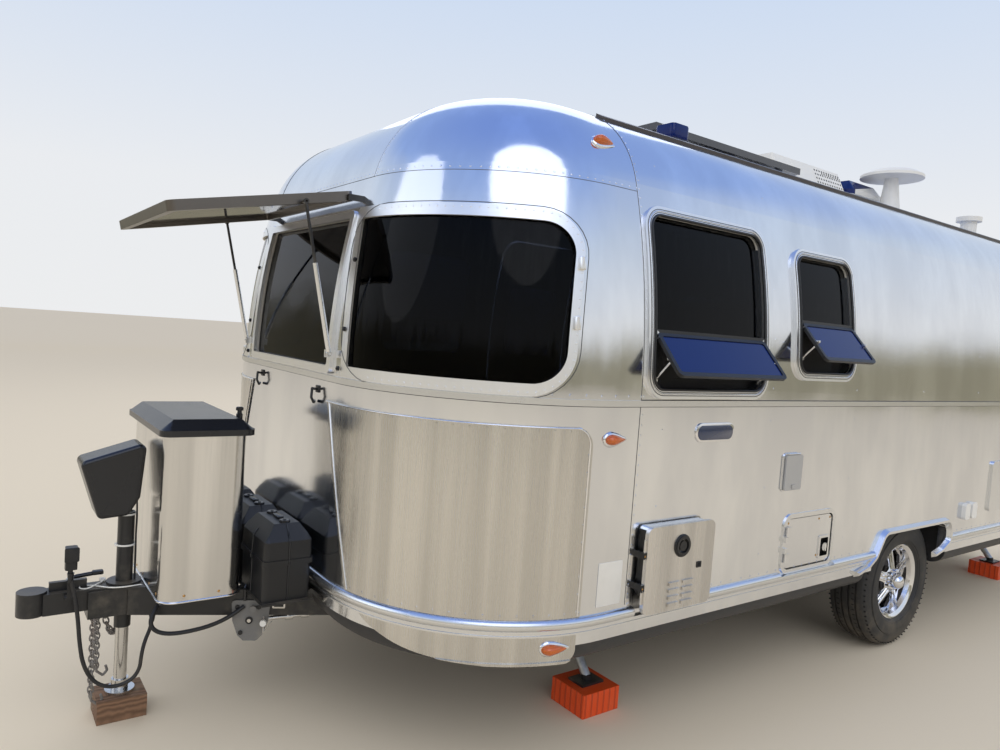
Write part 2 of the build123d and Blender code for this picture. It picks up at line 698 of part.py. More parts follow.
roof_rail_skin = around(wall_section(-12, 0, 1300))
with BuildPart() as mouldings:
    add(roof_rail_skin)
    block((FRONT_SEAM_X + 5, REAR_SEAM_X - 5), (-ROOF_EDGE_Y - 22, ROOF_EDGE_Y + 22), (2200, FAR), mode=Mode.INTERSECT)
    block((-FAR, FAR), (-ROOF_EDGE_Y + 16, ROOF_EDGE_Y - 16), (2200, FAR), mode=Mode.SUBTRACT)
    add(belt_band)
    add(door_hole, mode=Mode.SUBTRACT)
save(mouldings.part, "mouldings")


# Brushed guards on the front corners, above and below the rub rail
GUARD_TOP_Z = 1255
GUARD_REAR_X = -1782
with BuildSketch(Plane(origin=(0, 0, 0), x_dir=(1, 0, 0), z_dir=(0, -1, 0))) as guard_side:
    with BuildLine():
        FilletPolyline(
            (-3000, 300), (-3000, GUARD_TOP_Z), (GUARD_REAR_X, GUARD_TOP_Z), (GUARD_REAR_X, 300), radius=70, close=True
        )
    make_face()
with BuildSketch(Plane.YZ) as guard_front:
    with BuildLine():
        Polyline((430, GUARD_TOP_Z), (HALF_WIDTH + 60, GUARD_TOP_Z), (HALF_WIDTH + 60, 590), (650, 590), close=True)
    make_face()
guard_band = around(band_section(5, RUB_RAIL_Z[1], GUARD_TOP_Z))
SKIRT_BOTTOM_Z = 444
skirt_low = around(band_section(4, SKIRT_BOTTOM_Z, SILL_Z, depth=10))
skirt_high = around(band_section(4, SILL_Z, RUB_RAIL_Z[0]))
skirt_bead = around(band_section(9, SKIRT_BOTTOM_Z, SKIRT_BOTTOM_Z + 9, depth=-4))

with BuildPart() as guard_side_prism:
    extrude(guard_side.sketch, amount=FAR, both=True)
with BuildPart() as guard_front_prism:
    extrude(guard_front.sketch, amount=-FAR)
    mirror(about=Plane.XZ)

with BuildPart() as guards:
    add(guard_band)
    add(guard_side_prism.part, mode=Mode.INTERSECT)
    add(guard_front_prism.part, mode=Mode.INTERSECT)

# The skirt's front edge rises to the tongue in a curve, and its rear lower corner is rounded
SKIRT_RISE = ((685, 700), (687, 617), (696, 576), (724, 541), (801, 500), (893, 470), (1006, 452), (1100, 445))
with BuildPart() as skirt_front_prism:
    with BuildSketch(Plane.YZ):
        with BuildLine():
            rise = Spline(*SKIRT_RISE)
            Polyline(rise @ 1, (1140, 400), (FAR, 400), (FAR, 700), rise @ 0)
        make_face()
    extrude(amount=-FAR)
    mirror(about=Plane.XZ)
with BuildPart() as skirt_side_prism:
    with BuildSketch(Plane(origin=(0, 0, 0), x_dir=(1, 0, 0), z_dir=(0, -1, 0))):
        with BuildLine():
            FilletPolyline(
                (-3000, 700), (GUARD_REAR_X - 8, 700), (GUARD_REAR_X - 8, SKIRT_BOTTOM_Z), (-3000, SKIRT_BOTTOM_Z),
                radius=45, close=True,
            )
        make_face()
    extrude(amount=FAR, both=True)
with BuildPart() as skirt:
    add(skirt_low)
    add(skirt_high)
    add(skirt_bead)
    add(skirt_front_prism.part, mode=Mode.INTERSECT)
    add(skirt_side_prism.part, mode=Mode.INTERSECT)
with BuildPart() as stone_guards:
    add(skirt.part)
    add(guards.part)
save(stone_guards.part, "stone_guards")


# Chassis, floor and enclosed underside
def tongue_edge(x, offset):
    """Distance of a tongue rail from the middle at x, offset square to the rail."""
    slope = radians(TONGUE_ANGLE)
    return (x - TONGUE_TIP_X) * sin(slope) / cos(slope) + offset / cos(slope) + 8


TONGUE_END_X = -1750
tongue_rail_parts = []
for side in (LEFT, RIGHT):
    with BuildPart() as tongue_rail:
        with BuildSketch(Plane.XY.offset(RAIL_BOTTOM_Z)) as plan:
            with BuildLine():
                Polyline(
                    (TONGUE_TIP_X, side * tongue_edge(TONGUE_TIP_X, 0)),
                    (TONGUE_TIP_X, side * tongue_edge(TONGUE_TIP_X, RAIL_W)),
                    (TONGUE_END_X, side * tongue_edge(TONGUE_END_X, RAIL_W)),
                    (TONGUE_END_X, side * tongue_edge(TONGUE_END_X, 0)),
                    close=True,
                )
            make_face()
        extrude(plan.sketch, amount=RAIL_TOP_Z - RAIL_BOTTOM_Z)
    tongue_rail_parts.append(tongue_rail.part)

with BuildPart() as chassis_rails:
    for side in (LEFT, RIGHT):
        y_span = sorted((side * CHASSIS_RAIL_Y, side * (CHASSIS_RAIL_Y + RAIL_W)))
        block((TONGUE_END_X, BUMPER_X - 100), y_span, (RAIL_BOTTOM_Z, RAIL_TOP_Z - 4))
    # ears that carry the entry step
    for x in (-485, 33):
        block((x, x + 10), (STEP_PIVOT[0] - 25, STEP_PIVOT[0] + 25), (STEP_PIVOT[1] - 16, PAN_BOTTOM_Z))
save(chassis_rails.part, "chassis_rails")

PAN_R = 80
with BuildSketch() as pan_section:
    with BuildLine():
        edge = CORNER_R - 14
        Line((0, PAN_BOTTOM_Z), (edge - PAN_R, PAN_BOTTOM_Z))
        ThreePointArc(
            (edge - PAN_R, PAN_BOTTOM_Z),
            (edge - PAN_R + PAN_R * sin(radians(45)), PAN_BOTTOM_Z + PAN_R - PAN_R * cos(radians(45))),
            (edge, PAN_BOTTOM_Z + PAN_R),
        )
        Line((edge, PAN_BOTTOM_Z + PAN_R), (edge, SILL_Z))
        Line((edge, SILL_Z), (0, SILL_Z))
        Line((0, SILL_Z), (0, PAN_BOTTOM_Z))
    make_face()
pan_edge = around(pan_section.sketch)
WELL_X = (ARCH_FRONT_X - 40, ARCH_REAR_X + 40)
MIDDLE = ((FRONT_AXIS_X, REAR_AXIS_X), (-CORNER_Y, CORNER_Y))

with BuildPart() as belly_pan:
    add(pan_edge)
    block(*MIDDLE, (PAN_BOTTOM_Z, SILL_Z))
    for piece in tongue_rail_parts:
        add(piece, mode=Mode.SUBTRACT)
    add(chassis_rails.part, mode=Mode.SUBTRACT)
    add(stone_guards.part, mode=Mode.SUBTRACT)
    for side in (LEFT, RIGHT):
        block(WELL_X, sorted((side * WELL_INNER_Y, side * FAR)), (0, FAR), mode=Mode.SUBTRACT)
save(belly_pan.part, "belly_pan")

with BuildSketch() as floor_section:
    with Locations((0, SILL_Z)):
        Rectangle(CORNER_R - WALL, FLOOR_Z - SILL_Z, align=(Align.MIN, Align.MIN))
floor_edge = around(floor_section.sketch)
with BuildPart() as floor:
    add(floor_edge)
    block(*MIDDLE, (SILL_Z, FLOOR_Z))
    for side in (LEFT, RIGHT):
        y_span = sorted((side * (WELL_INNER_Y - WELL_SHEET), side * FAR))
        block((WELL_X[0] - WELL_SHEET, WELL_X[1] + WELL_SHEET), y_span, (0, FAR), mode=Mode.SUBTRACT)
save(floor.part, "floor")

with BuildPart() as wheel_wells:
    inner_wall = HALF_WIDTH - WALL
    for side in (LEFT, RIGHT):
        y_out = sorted((side * (WELL_INNER_Y - WELL_SHEET), side * inner_wall))
        y_in = sorted((side * WELL_INNER_Y, side * (inner_wall + 10)))
        block((WELL_X[0] - WELL_SHEET, WELL_X[1] + WELL_SHEET), y_out, (SILL_Z, WELL_TOP_Z + WELL_SHEET))
        block(WELL_X, y_in, (SILL_Z - 1, WELL_TOP_Z), mode=Mode.SUBTRACT)
save(wheel_wells.part, "wheel_wells")


# Axle: square tube, trailing arms, spindles and brake backing plates
TUBE_X = 500
TUBE = 72
ARM_Y = 870
with BuildPart() as axle:
    block((TUBE_X - TUBE / 2, TUBE_X + TUBE / 2), (-ARM_Y, ARM_Y), (RAIL_BOTTOM_Z - TUBE, RAIL_BOTTOM_Z))
    for side in (LEFT, RIGHT):
        plane = Plane(origin=(0, side * ARM_Y, 0), x_dir=(1, 0, 0), z_dir=(0, -1, 0))
        with BuildSketch(plane) as arm:
            with Locations((TUBE_X, RAIL_BOTTOM_Z - TUBE / 2), (AXLE_X, TYRE_R)):
                Circle(34)
            make_hull()
        extrude(arm.sketch, amount=-side * 24)
        rod((AXLE_X, side * ARM_Y, TYRE_R), (AXLE_X, side * (WHEEL_Y + 20), TYRE_R), 19)
        rod((AXLE_X, side * (ARM_Y + 50), TYRE_R), (AXLE_X, side * (ARM_Y + 58), TYRE_R), 128)
save(axle.part, "axle")


# Wheels: tyre, and a rim with its drum, hub and hub cap
def wheel_plane(side):
    """Plane through the wheel's axis, its own x outwards from the axle and its y radial."""
    return Plane(origin=(AXLE_X, side * WHEEL_Y, TYRE_R), x_dir=(0, side, 0), z_dir=(side, 0, 0))


BEAD_R = 190
TYRE_SECTION = ((75, BEAD_R), (98, 212), (110, 240), (TYRE_WIDTH / 2, 268), (108, 300), (98, 328), (84, 347), (50, TYRE_R))
for side, name in ((LEFT, "left"), (RIGHT, "right")):
    half = TYRE_WIDTH / 2
    axis = Axis((AXLE_X, 0, TYRE_R), (0, 1, 0))
    with BuildPart() as rim:
        with BuildSketch(wheel_plane(side)) as barrel:
            with BuildLine():
                Polyline(
                    (-82, RIM_R), (-75, RIM_R), (-75, BEAD_R), (75, BEAD_R), (75, RIM_R), (82, RIM_R),
                    (82, BEAD_R - 8), (60, BEAD_R - 16), (-82, BEAD_R - 16), close=True,
                )
            make_face()
        revolve(barrel.sketch, axis=axis)
        with BuildSketch(wheel_plane(side)) as disc:
            with BuildLine():
                Polyline((30, 24), (62, 24), (66, 60), (40, 110), (34, 176), (18, 176), (22, 110), (46, 60), (30, 50), close=True)
            make_face()
        revolve(disc.sketch, axis=axis)
        # five openings, each wide at the rim, leave five broad spokes
        with BuildSketch(Plane(origin=(AXLE_X, side * (WHEEL_Y - 10), TYRE_R), x_dir=(1, 0, 0), z_dir=(0, side, 0))) as openings:
            for turn in range(5):
                with BuildLine(mode=Mode.PRIVATE) as opening:
                    corners = [
                        (reach * cos(radians(72 * turn + 54 + swing)), reach * sin(radians(72 * turn + 54 + swing)))
                        for reach, swing in ((72, -14), (150, -27), (170, -14), (170, 14), (150, 27), (72, 14))
                    ]
                    FilletPolyline(*corners, radius=9, close=True)
                add(make_face(opening.edges(), mode=Mode.PRIVATE))
        extrude(openings.sketch, amount=110, mode=Mode.SUBTRACT)
        rod((AXLE_X, side * (WHEEL_Y + 30), TYRE_R), (AXLE_X, side * (WHEEL_Y + 86), TYRE_R), 40)
        rod((AXLE_X, side * (WHEEL_Y + 20), TYRE_R), (AXLE_X, side * (WHEEL_Y + 60), TYRE_R), 22, mode=Mode.SUBTRACT)
    save(rim.part, f"rim_{name}")

    with BuildPart() as tyre:
        with BuildSketch(wheel_plane(side)) as carcass:
            with BuildLine():
                Polyline(*TYRE_SECTION, *[(-x, r) for x, r in reversed(TYRE_SECTION)], close=True)
            make_face()
        revolve(carcass.sketch, axis=axis)
        add(rim.part, mode=Mode.SUBTRACT)
    save(tyre.part, f"tyre_{name}")


# Tongue: coupler, plates and spring-bar brackets
PLUG_Z = (610, 690)
PLUG_AT = (-3183, -92)
BALL_R = 29.4
BALL_Z = 452
with BuildPart() as coupler:
    with BuildSketch(Plane.XY.offset(RAIL_TOP_Z)) as top_plate:
        with BuildLine():
            Polyline((-3230, -38), (-3060, -44), (-2936, -90), (-2936, 90), (-3060, 44), (-3230, 38), close=True)
        make_face()
    extrude(top_plate.sketch, amount=8)
    block((-3260, TONGUE_TIP_X), (-38, 38), (RAIL_BOTTOM_Z + 30, RAIL_TOP_Z + 8))
    block((-3120, TONGUE_TIP_X), (-54, 54), (RAIL_BOTTOM_Z, RAIL_TOP_Z))
    with Locations((COUPLER_TIP_X + 48, 0, BALL_Z + 22)):
        Cylinder(48, 84)
    with Locations((COUPLER_TIP_X + 48, 0, BALL_Z - 4)):
        Cylinder(BALL_R, 46, mode=Mode.SUBTRACT)
    block((-3240, -3120), (-9, 9), (RAIL_TOP_Z + 6, RAIL_TOP_Z + 40))
    # arm that holds the unused plug
    block((-3196, -3170), (-74, -30), (RAIL_TOP_Z - 8, RAIL_TOP_Z))
    block((-3190, -3176), (-74, -68), (RAIL_TOP_Z - 8, PLUG_Z[0] + 30))

BRACKET_X = -2590
TRAY_T = 5
BATTERY_X = -2517
with BuildPart() as tongue_fittings:
    # trays bolted across the tongue: one under the gas bottles and one under the batteries
    block((COVER_X[0] + 4, COVER_X[1] - 2), (-COVER_HALF_Y + 14, COVER_HALF_Y - 14), (RAIL_TOP_Z, COVER_Z[0]))
    block((BATTERY_X - 98, BATTERY_X + 96), (-448, 448), (RAIL_TOP_Z, RAIL_TOP_Z + TRAY_T))
    for side in (LEFT, RIGHT):
        outer_edge = tongue_edge(BRACKET_X, RAIL_W)
        plane = Plane(
            origin=(BRACKET_X, side * outer_edge, RAIL_TOP_Z),
            x_dir=(-side * cos(radians(TONGUE_ANGLE)), -sin(radians(TONGUE_ANGLE)), 0),
            z_dir=(-sin(radians(TONGUE_ANGLE)), side * cos(radians(TONGUE_ANGLE)), 0),
        )
        with BuildSketch(plane) as plate:
            with BuildLine():
                FilletPolyline(
                    (-72, -40), (72, -40), (66, -120), (46, -176), (24, -198), (-24, -198), (-46, -176), (-66, -120),
                    radius=14, close=True,
                )
            make_face()
        extrude(plate.sketch, amount=7)
        pin_plane = plane.offset(7)
        with BuildSketch(pin_plane) as pin:
            with Locations((10, -70)):
                Circle(13)
        extrude(pin.sketch, amount=16)
save(tongue_fittings.part, "tongue_fittings")

# Tongue jack on its timber block
JACK_R = 29
LEG_R = 23
BLOCK_H = 85
with BuildPart() as jack_post:
    with Locations((JACK_X, 0, 560)):
        Cylinder(JACK_R, 440)
    with Locations((JACK_X, 0, RAIL_TOP_Z + 13)):
        Cylinder(60, 10)
    with Locations((JACK_X, 0, 560)):
        Cylinder(LEG_R, 440, mode=Mode.SUBTRACT)
with BuildPart() as jack_leg:
    with Locations((JACK_X, 0, (BLOCK_H + 640) / 2)):
        Cylinder(LEG_R, 640 - BLOCK_H)
    with Locations((JACK_X, 0, BLOCK_H + 6)):
        Cylinder(52, 12)
    with Locations((JACK_X, 0, BLOCK_H + 30)):
        Cylinder(30, 40)
with BuildPart() as jack_head:
    with BuildSketch(Plane.XZ) as wedge:
        with BuildLine():
            FilletPolyline(
                (-3165, 985), (-2945, 1052), (-2962, 845), (-3000, 780), (-3100, 772), radius=22, close=True
            )
        make_face()
    extrude(wedge.sketch, amount=74, both=True)
    fillet(jack_head.edges().filter_by(Axis.Y, reverse=True).group_by(Axis.Y)[0], 14)
    fillet(jack_head.edges().filter_by(Axis.Y, reverse=True).group_by(Axis.Y)[-1], 14)
    with Locations((JACK_X, 0, 560)):
        Cylinder(JACK_R, 440, mode=Mode.SUBTRACT)
with BuildPart() as jack_block:
    block((JACK_X - 85, JACK_X + 85), (-75, 75), (0, BLOCK_H))
# The post passes through the coupler plate and the tongue rails' tip
with BuildPart() as coupler_bored:
    add(coupler.part)
    with Locations((JACK_X, 0, 450)):
        Cylinder(JACK_R, 200, mode=Mode.SUBTRACT)
save(coupler_bored.part, "coupler")
for name, piece in (("tongue_rail_left", tongue_rail_parts[0]), ("tongue_rail_right", tongue_rail_parts[1])):
    with BuildPart() as bored_rail:
        add(piece)
        with Locations((JACK_X, 0, 450)):
            Cylinder(JACK_R, 200, mode=Mode.SUBTRACT)
    save(bored_rail.part, name)
for piece, name in ((jack_post, "jack_post"), (jack_leg, "jack_leg"), (jack_head, "jack_head"), (jack_block, "jack_block")):
    save(piece.part, name)


# Towing cable: out of the left rail's underside, down in a loop and up to its plug
CABLE_R = 7
CABLE_ROUTE = (
    (-2905, -75, RAIL_BOTTOM_Z),
    (-2905, -75, 352),
    (-2930, -88, 300),
    (-2942, -98, 250),
    (-2946, -103, 200),
    (-2975, -103, 160),
    (-3040, -102, 148),
    (-3098, -100, 180),
    (-3134, -99, 250),
    (-3148, -98, 335),
    (-3156, -97, 430),
    (-3168, -95, 510),
    (-3183, -92, 575),
    (-3183, -92, PLUG_Z[0]),
)


def bend_radii(route):
    """Radius of each bend: 0.45 of the shorter run beside it over the tangent of half the turn."""
    points = [Vector(*point) for point in route]
    radii = []
    for before, at, after in zip(points, points[1:], points[2:]):
        run_in, run_out = at - before, after - at
        half_turn = radians(run_in.get_angle(run_out) / 2)
        radii.append(0.45 * min(run_in.length, run_out.length) * cos(half_turn) / sin(half_turn))
    return radii


cable_radii = bend_radii(CABLE_ROUTE)
with BuildPart() as tow_cable:
    with BuildLine() as cable_path:
        FilletPolyline(*CABLE_ROUTE, radius=cable_radii)
    with BuildSketch(Plane(origin=cable_path.line @ 0, z_dir=cable_path.line % 0)):
        Circle(CABLE_R)
    sweep()
save(tow_cable.part, "tow_cable")
cable_length = sum(edge.length for edge in cable_path.edges())
print("cable", round(cable_length), "radii", [round(r) for r in cable_radii])
print("cable volume ratio", round(tow_cable.part.volume / (3.14159265 * CABLE_R**2 * cable_length), 4))

with BuildPart() as tow_plug:
    with BuildSketch(Plane(origin=(*PLUG_AT, PLUG_Z[0]))) as plug_plan:
        RectangleRounded(38, 36, 8)
    extrude(plug_plan.sketch, amount=PLUG_Z[1] - PLUG_Z[0])
save(tow_plug.part, "tow_plug")


# Gas cover, its lid and the two bottles inside it
cover_mid_x = (COVER_X[0] + COVER_X[1]) / 2
with BuildPart() as gas_cover:
    with BuildSketch(Plane.XY.offset(COVER_Z[0])) as plan:
        with Locations((cover_mid_x, 0)):
            RectangleRounded(COVER_X[1] - COVER_X[0], 2 * COVER_HALF_Y, COVER_R)
            inner_size = (COVER_X[1] - COVER_X[0] - 2 * COVER_SHEET, 2 * (COVER_HALF_Y - COVER_SHEET))
            RectangleRounded(*inner_size, COVER_R - COVER_SHEET, mode=Mode.SUBTRACT)
    extrude(plan.sketch, amount=COVER_Z[1] - COVER_Z[0])
    for side in (LEFT, RIGHT):
        ear = ((COVER_X[1] - COVER_SHEET, LID_HINGE[0] + 5), sorted((side * 150, side * 185)))
        block(*ear, (LID_HINGE[1] - 10, LID_HINGE[1] + 1))
save(gas_cover.part, "gas_cover")

lid_mid_x = (LID_X[0] + LID_X[1]) / 2
with BuildPart() as gas_lid:
    with BuildSketch(Plane.XY.offset(LID_Z[0])) as plan:
        with Locations((lid_mid_x, 0)):
            RectangleRounded(LID_X[1] - LID_X[0], 2 * LID_HALF_Y, 40)
    extrude(plan.sketch, amount=22)
    with BuildSketch(Plane.XY.offset(LID_Z[0] + 22)) as plan:
        with Locations((lid_mid_x, 0)):
            RectangleRounded(LID_X[1] - LID_X[0] - 10, 2 * LID_HALF_Y - 10, 36)
    extrude(plan.sketch, amount=LID_Z[1] - LID_Z[0] - 22, taper=50)
    rod((LID_HINGE[0], -140, LID_HINGE[1]), (LID_HINGE[0], 140, LID_HINGE[1]), 5)
    block((LID_HINGE[0] - 16, LID_HINGE[0]), (-140, 140), (LID_HINGE[1], LID_Z[0] + 4))
save(gas_lid.part, "gas_lid")

BOTTLE_R = 132
with BuildPart() as gas_bottles:
    for y in (-150, 150):
        with BuildSketch(Plane(origin=(cover_mid_x, y, 0), x_dir=(1, 0, 0), z_dir=(0, -1, 0))) as half:
            with BuildLine():
                Polyline(
                    (0, 505), (105, 505), (105, 530), (BOTTLE_R, 580), (BOTTLE_R, 890), (120, 930), (90, 972), (0, 1000),
                    close=True,
                )
            make_face()
        revolve(half.sketch, axis=Axis((cover_mid_x, y, 0), (0, 0, 1)))
        rod((cover_mid_x, y, 990), (cover_mid_x, y, 1060), 22)
save(gas_bottles.part, "gas_bottles")

# Three battery boxes behind the gas cover; each lid is a flange, an upright part and a bevelled top
BATTERY_LID = (
    (640, 660, 192, 284, 20, 0),
    (660, 728, 184, 276, 20, 2),
    (728, 786, 179, 271, 18, 36),
)
with BuildPart() as battery_boxes:
    for y in (-292, 0, 292):
        with BuildSketch(Plane.XY.offset(RAIL_TOP_Z + TRAY_T)) as plan:
            with Locations((BATTERY_X, y)):
                RectangleRounded(180, 270, 22)
        extrude(plan.sketch, amount=135)
        for z_low, z_high, long_x, wide_y, radius, taper in BATTERY_LID:
            with BuildSketch(Plane.XY.offset(z_low)) as plan:
                with Locations((BATTERY_X, y)):
                    RectangleRounded(long_x, wide_y, radius)
            extrude(plan.sketch, amount=z_high - z_low, taper=taper)
save(battery_boxes.part, "battery_boxes")


# Window guard in its own plane: x along the dip, y across
dip = radians(GUARD_DIP)
guard_along = Vector(-cos(dip), 0, -sin(dip))
guard_plane = Plane(origin=(GUARD_HINGE[0], 0, GUARD_HINGE[1]), x_dir=guard_along, z_dir=(-sin(dip), 0, cos(dip)))
eye = (
    Vector(GUARD_HINGE[0], 0, GUARD_HINGE[1])
    + guard_along * STRUT_EYE_ALONG
    + Vector(sin(dip), 0, -cos(dip)) * STRUT_EYE_DROP
)
GUARD_RAIL = 30
GUARD_START = -22
guard_outer = (GUARD_LENGTH - GUARD_START, 2 * GUARD_HALF_W)
guard_inner = (guard_outer[0] - 2 * GUARD_RAIL, guard_outer[1] - 2 * GUARD_RAIL)
with BuildPart() as guard_frame:
    with BuildSketch(guard_plane.offset(GUARD_OUTSIDE)) as ring:
        with Locations(((GUARD_LENGTH + GUARD_START) / 2, 0)):
            RectangleRounded(*guard_outer, 26)
            RectangleRounded(*guard_inner, 8, mode=Mode.SUBTRACT)
    extrude(ring.sketch, amount=-GUARD_OUTSIDE - GUARD_INSIDE)
    hinge_ends = [(GUARD_HINGE[0], reach * (GUARD_HALF_W + 3), GUARD_HINGE[1]) for reach in (-1, 1)]
    rod(*hinge_ends, 7)
    # pins that the struts' eyes turn on
    for side in (LEFT, RIGHT):
        pin_ends = [(eye.X, side * reach, eye.Z) for reach in (GUARD_HALF_W - 10, STRUT_Y - 8)]
        rod(*pin_ends, 5)
save(guard_frame.part, "guard_frame")
with BuildPart() as guard_panel:
    with BuildSketch(guard_plane.offset(8)) as sheet:
        with Locations(((GUARD_LENGTH + GUARD_START) / 2, 0)):
            RectangleRounded(*guard_inner, 8)
    extrude(sheet.sketch, amount=-5)
save(guard_panel.part, "guard_panel")

# Struts: a tube from each foot and a rod to each eye
foot = Vector(STRUT_FOOT[0], 0, STRUT_FOOT[1])
strut_dir = (eye - foot).normalized()
STRUT_LENGTH = (eye - foot).length
EYE_R = 10


def strut_point(along, side):
    """Point of a strut's line at a distance from its foot."""
    return tuple(foot + strut_dir * along + Vector(0, side * STRUT_Y, 0))


def eye_ring(along, side):
    """Eye across the strut with a hole for its pin."""
    middle = Vector(*strut_point(along, side))
    low, high = tuple(middle - Vector(0, 6, 0)), tuple(middle + Vector(0, 6, 0))
    rod(low, high, EYE_R)
    rod(low, high, 4.5, mode=Mode.SUBTRACT)


with BuildPart() as strut_tubes:
    for side in (LEFT, RIGHT):
        rod(strut_point(8, side), strut_point(STRUT_TUBE, side), 9)
        rod(strut_point(60, side), strut_point(STRUT_TUBE, side), 6.5, mode=Mode.SUBTRACT)
        eye_ring(0, side)
save(strut_tubes.part, "strut_tubes")
with BuildPart() as strut_rods:
    for side in (LEFT, RIGHT):
        rod(strut_point(STRUT_LENGTH - 330, side), strut_point(STRUT_LENGTH - 8, side), 5.5)
        eye_ring(STRUT_LENGTH, side)
save(strut_rods.part, "strut_rods")


# Roof: air conditioner, solar panels, antenna and vents
AIRCON_X = 825
AIRCON_SIZE = (910, 640)
with BuildPart() as air_conditioner:
    with BuildSketch(Plane.XY.offset(ROOF_Z)) as plan:
        with Locations((AIRCON_X, 0)):
            RectangleRounded(*AIRCON_SIZE, 90)
    extrude(plan.sketch, amount=95)
    with BuildSketch(Plane.XY.offset(ROOF_Z + 95)) as plan:
        with Locations((AIRCON_X, 0)):
            RectangleRounded(*AIRCON_SIZE, 90)
    extrude(plan.sketch, amount=191, taper=24)
save(air_conditioner.part, "air_conditioner")

PANEL_Z = ROOF_Z + 91
PANEL_X = (-870, 330)
with BuildPart() as solar_panels:
    for side in (LEFT, RIGHT):
        block(PANEL_X, sorted((side * 10, side * 520)), (PANEL_Z, PANEL_Z + 35))
        for y in (60, 400):
            for x in (-800, -540, 295):
                block((x - 15, x + 15), sorted((side * (y - 15), side * (y + 15))), (ROOF_Z, PANEL_Z))
save(solar_panels.part, "solar_panels")

ANTENNA_AT = (1620, -380)
DISH_Z = 2786
VENT_AT = (1500, -75)
PIPE_AT = (2330, -600)
with BuildPart() as roof_fittings:
    with Locations((*ANTENNA_AT, (ROOF_Z + DISH_Z) / 2)):
        Cone(80, 42, DISH_Z - ROOF_Z)
    for z, thick, taper in ((DISH_Z, 18, 0), (DISH_Z + 18, 26, 60)):
        with BuildSketch(Plane.XY.offset(z)) as dish:
            with Locations(ANTENNA_AT):
                Circle(200)
        extrude(dish.sketch, amount=thick, taper=taper)
    # plumbing vent with its cap
    with Locations((*PIPE_AT, ROOF_Z + 42)):
        Cylinder(52, 124)
    with Locations((*PIPE_AT, ROOF_Z + 120)):
        Cylinder(82, 32)
    # roof vent: its curb, four posts and the raised lid
    with BuildSketch(Plane.XY.offset(ROOF_Z)) as plan:
        with Locations(VENT_AT):
            RectangleRounded(400, 400, 40)
    extrude(plan.sketch, amount=70)
    for x in (-165, 165):
        for y in (-165, 165):
            block(
                (VENT_AT[0] + x - 10, VENT_AT[0] + x + 10), (VENT_AT[1] + y - 10, VENT_AT[1] + y + 10),
                (ROOF_Z + 60, 2668),
            )
    for z, thick, taper in ((2650, 30, 0), (2680, 66, 38)):
        with BuildSketch(Plane.XY.offset(z)) as plan:
            with Locations(VENT_AT):
                RectangleRounded(424, 424, 50)
        extrude(plan.sketch, amount=thick, taper=taper)
    add(roof.part, mode=Mode.SUBTRACT)
save(roof_fittings.part, "roof_fittings")

# Awning rolled up on the kerb side, its arms lying on the wall
AWNING_Z = 2235
AWNING_Y = 1130
AWNING_X = (-1500, 2280)


def arm_strip(x):
    """One folded arm, which follows the wall from the belt up to the roller."""
    with BuildPart() as strip:
        add(arm_skin)
        block((x - 20, x + 20), (0, FAR), (BELT_Z + 10, 2210), mode=Mode.INTERSECT)
    return strip.part


with BuildPart() as awning_arms:
    for x in AWNING_X:
        add(arm_strip(x))
save(awning_arms.part, "awning_arms")
with BuildPart() as awning_roller:
    rod((AWNING_X[0] - 30, AWNING_Y, AWNING_Z), (AWNING_X[1] + 30, AWNING_Y, AWNING_Z), 46)
    add(awning_arms.part, mode=Mode.SUBTRACT)
save(awning_roller.part, "awning_roller")


# Lamps: amber in front, red behind
def teardrop(plane, length, height, depth):
    """Marker lamp: a long rounded lens."""
    with BuildSketch(plane) as lens:
        SlotOverall(length, height)
    extrude(lens.sketch, amount=depth, taper=20)


SKIRT_LAMP_TURN = 17
SKIRT_LAMP_Z = 500
# Clearance lamps on the brow, over the corners' axes: x off the axis, y, z, slope of the skin there
ROOF_LAMP = (-32, 1053, 2246, 34.2, 3.3)


def brow_plane(end, side):
    """Plane of a clearance lamp at the front (-1) or rear (+1), square to the skin."""
    off_x, y, z, slope, turn = ROOF_LAMP
    axis_x = FRONT_AXIS_X if end < 0 else REAR_AXIS_X
    a, t = radians(slope), radians(turn)
    outward = Vector(end * sin(t) * cos(a), side * cos(t) * cos(a), sin(a))
    origin = Vector(axis_x - end * off_x, side * y, z) - outward * 6
    return Plane(origin=origin, x_dir=(cos(t), -end * side * sin(t), 0), z_dir=outward)


with BuildPart() as amber_lamps:
    for side in (LEFT, RIGHT):
        teardrop(side_plane(side, -1703, 1212, HALF_WIDTH - 4), 96, 46, 30)
        turn = radians(SKIRT_LAMP_TURN)
        outward = Vector(-sin(turn), side * cos(turn), 0)
        origin = Vector(FRONT_AXIS_X, side * CORNER_Y, SKIRT_LAMP_Z) + outward * (CORNER_R + 1)
        teardrop(Plane(origin=origin, x_dir=(-side * cos(turn), -sin(turn), 0), z_dir=outward), 100, 46, 22)
        teardrop(brow_plane(-1, side), 92, 36, 28)
    for piece in (front_end, end_domes, stone_guards):
        add(piece.part, mode=Mode.SUBTRACT)
save(amber_lamps.part, "amber_lamps")

with BuildPart() as red_lamps:
    for side in (LEFT, RIGHT):
        teardrop(side_plane(side, 2560, 1212, HALF_WIDTH - 3), 96, 46, 26)
        with BuildSketch(Plane(origin=(REAR_X - 60, side * 760, 950), x_dir=(0, 1, 0), z_dir=(1, 0, 0))) as lens:
            RectangleRounded(150, 260, 30)
        extrude(lens.sketch, amount=45)
        teardrop(brow_plane(1, side), 92, 36, 28)
    for piece in (rear_end, end_domes):
        add(piece.part, mode=Mode.SUBTRACT)
save(red_lamps.part, "red_lamps")

with BuildPart() as bumper:
    block((BUMPER_X - 100, BUMPER_X), (-900, 900), (RAIL_BOTTOM_Z, RAIL_TOP_Z - 4))
save(bumper.part, "bumper")

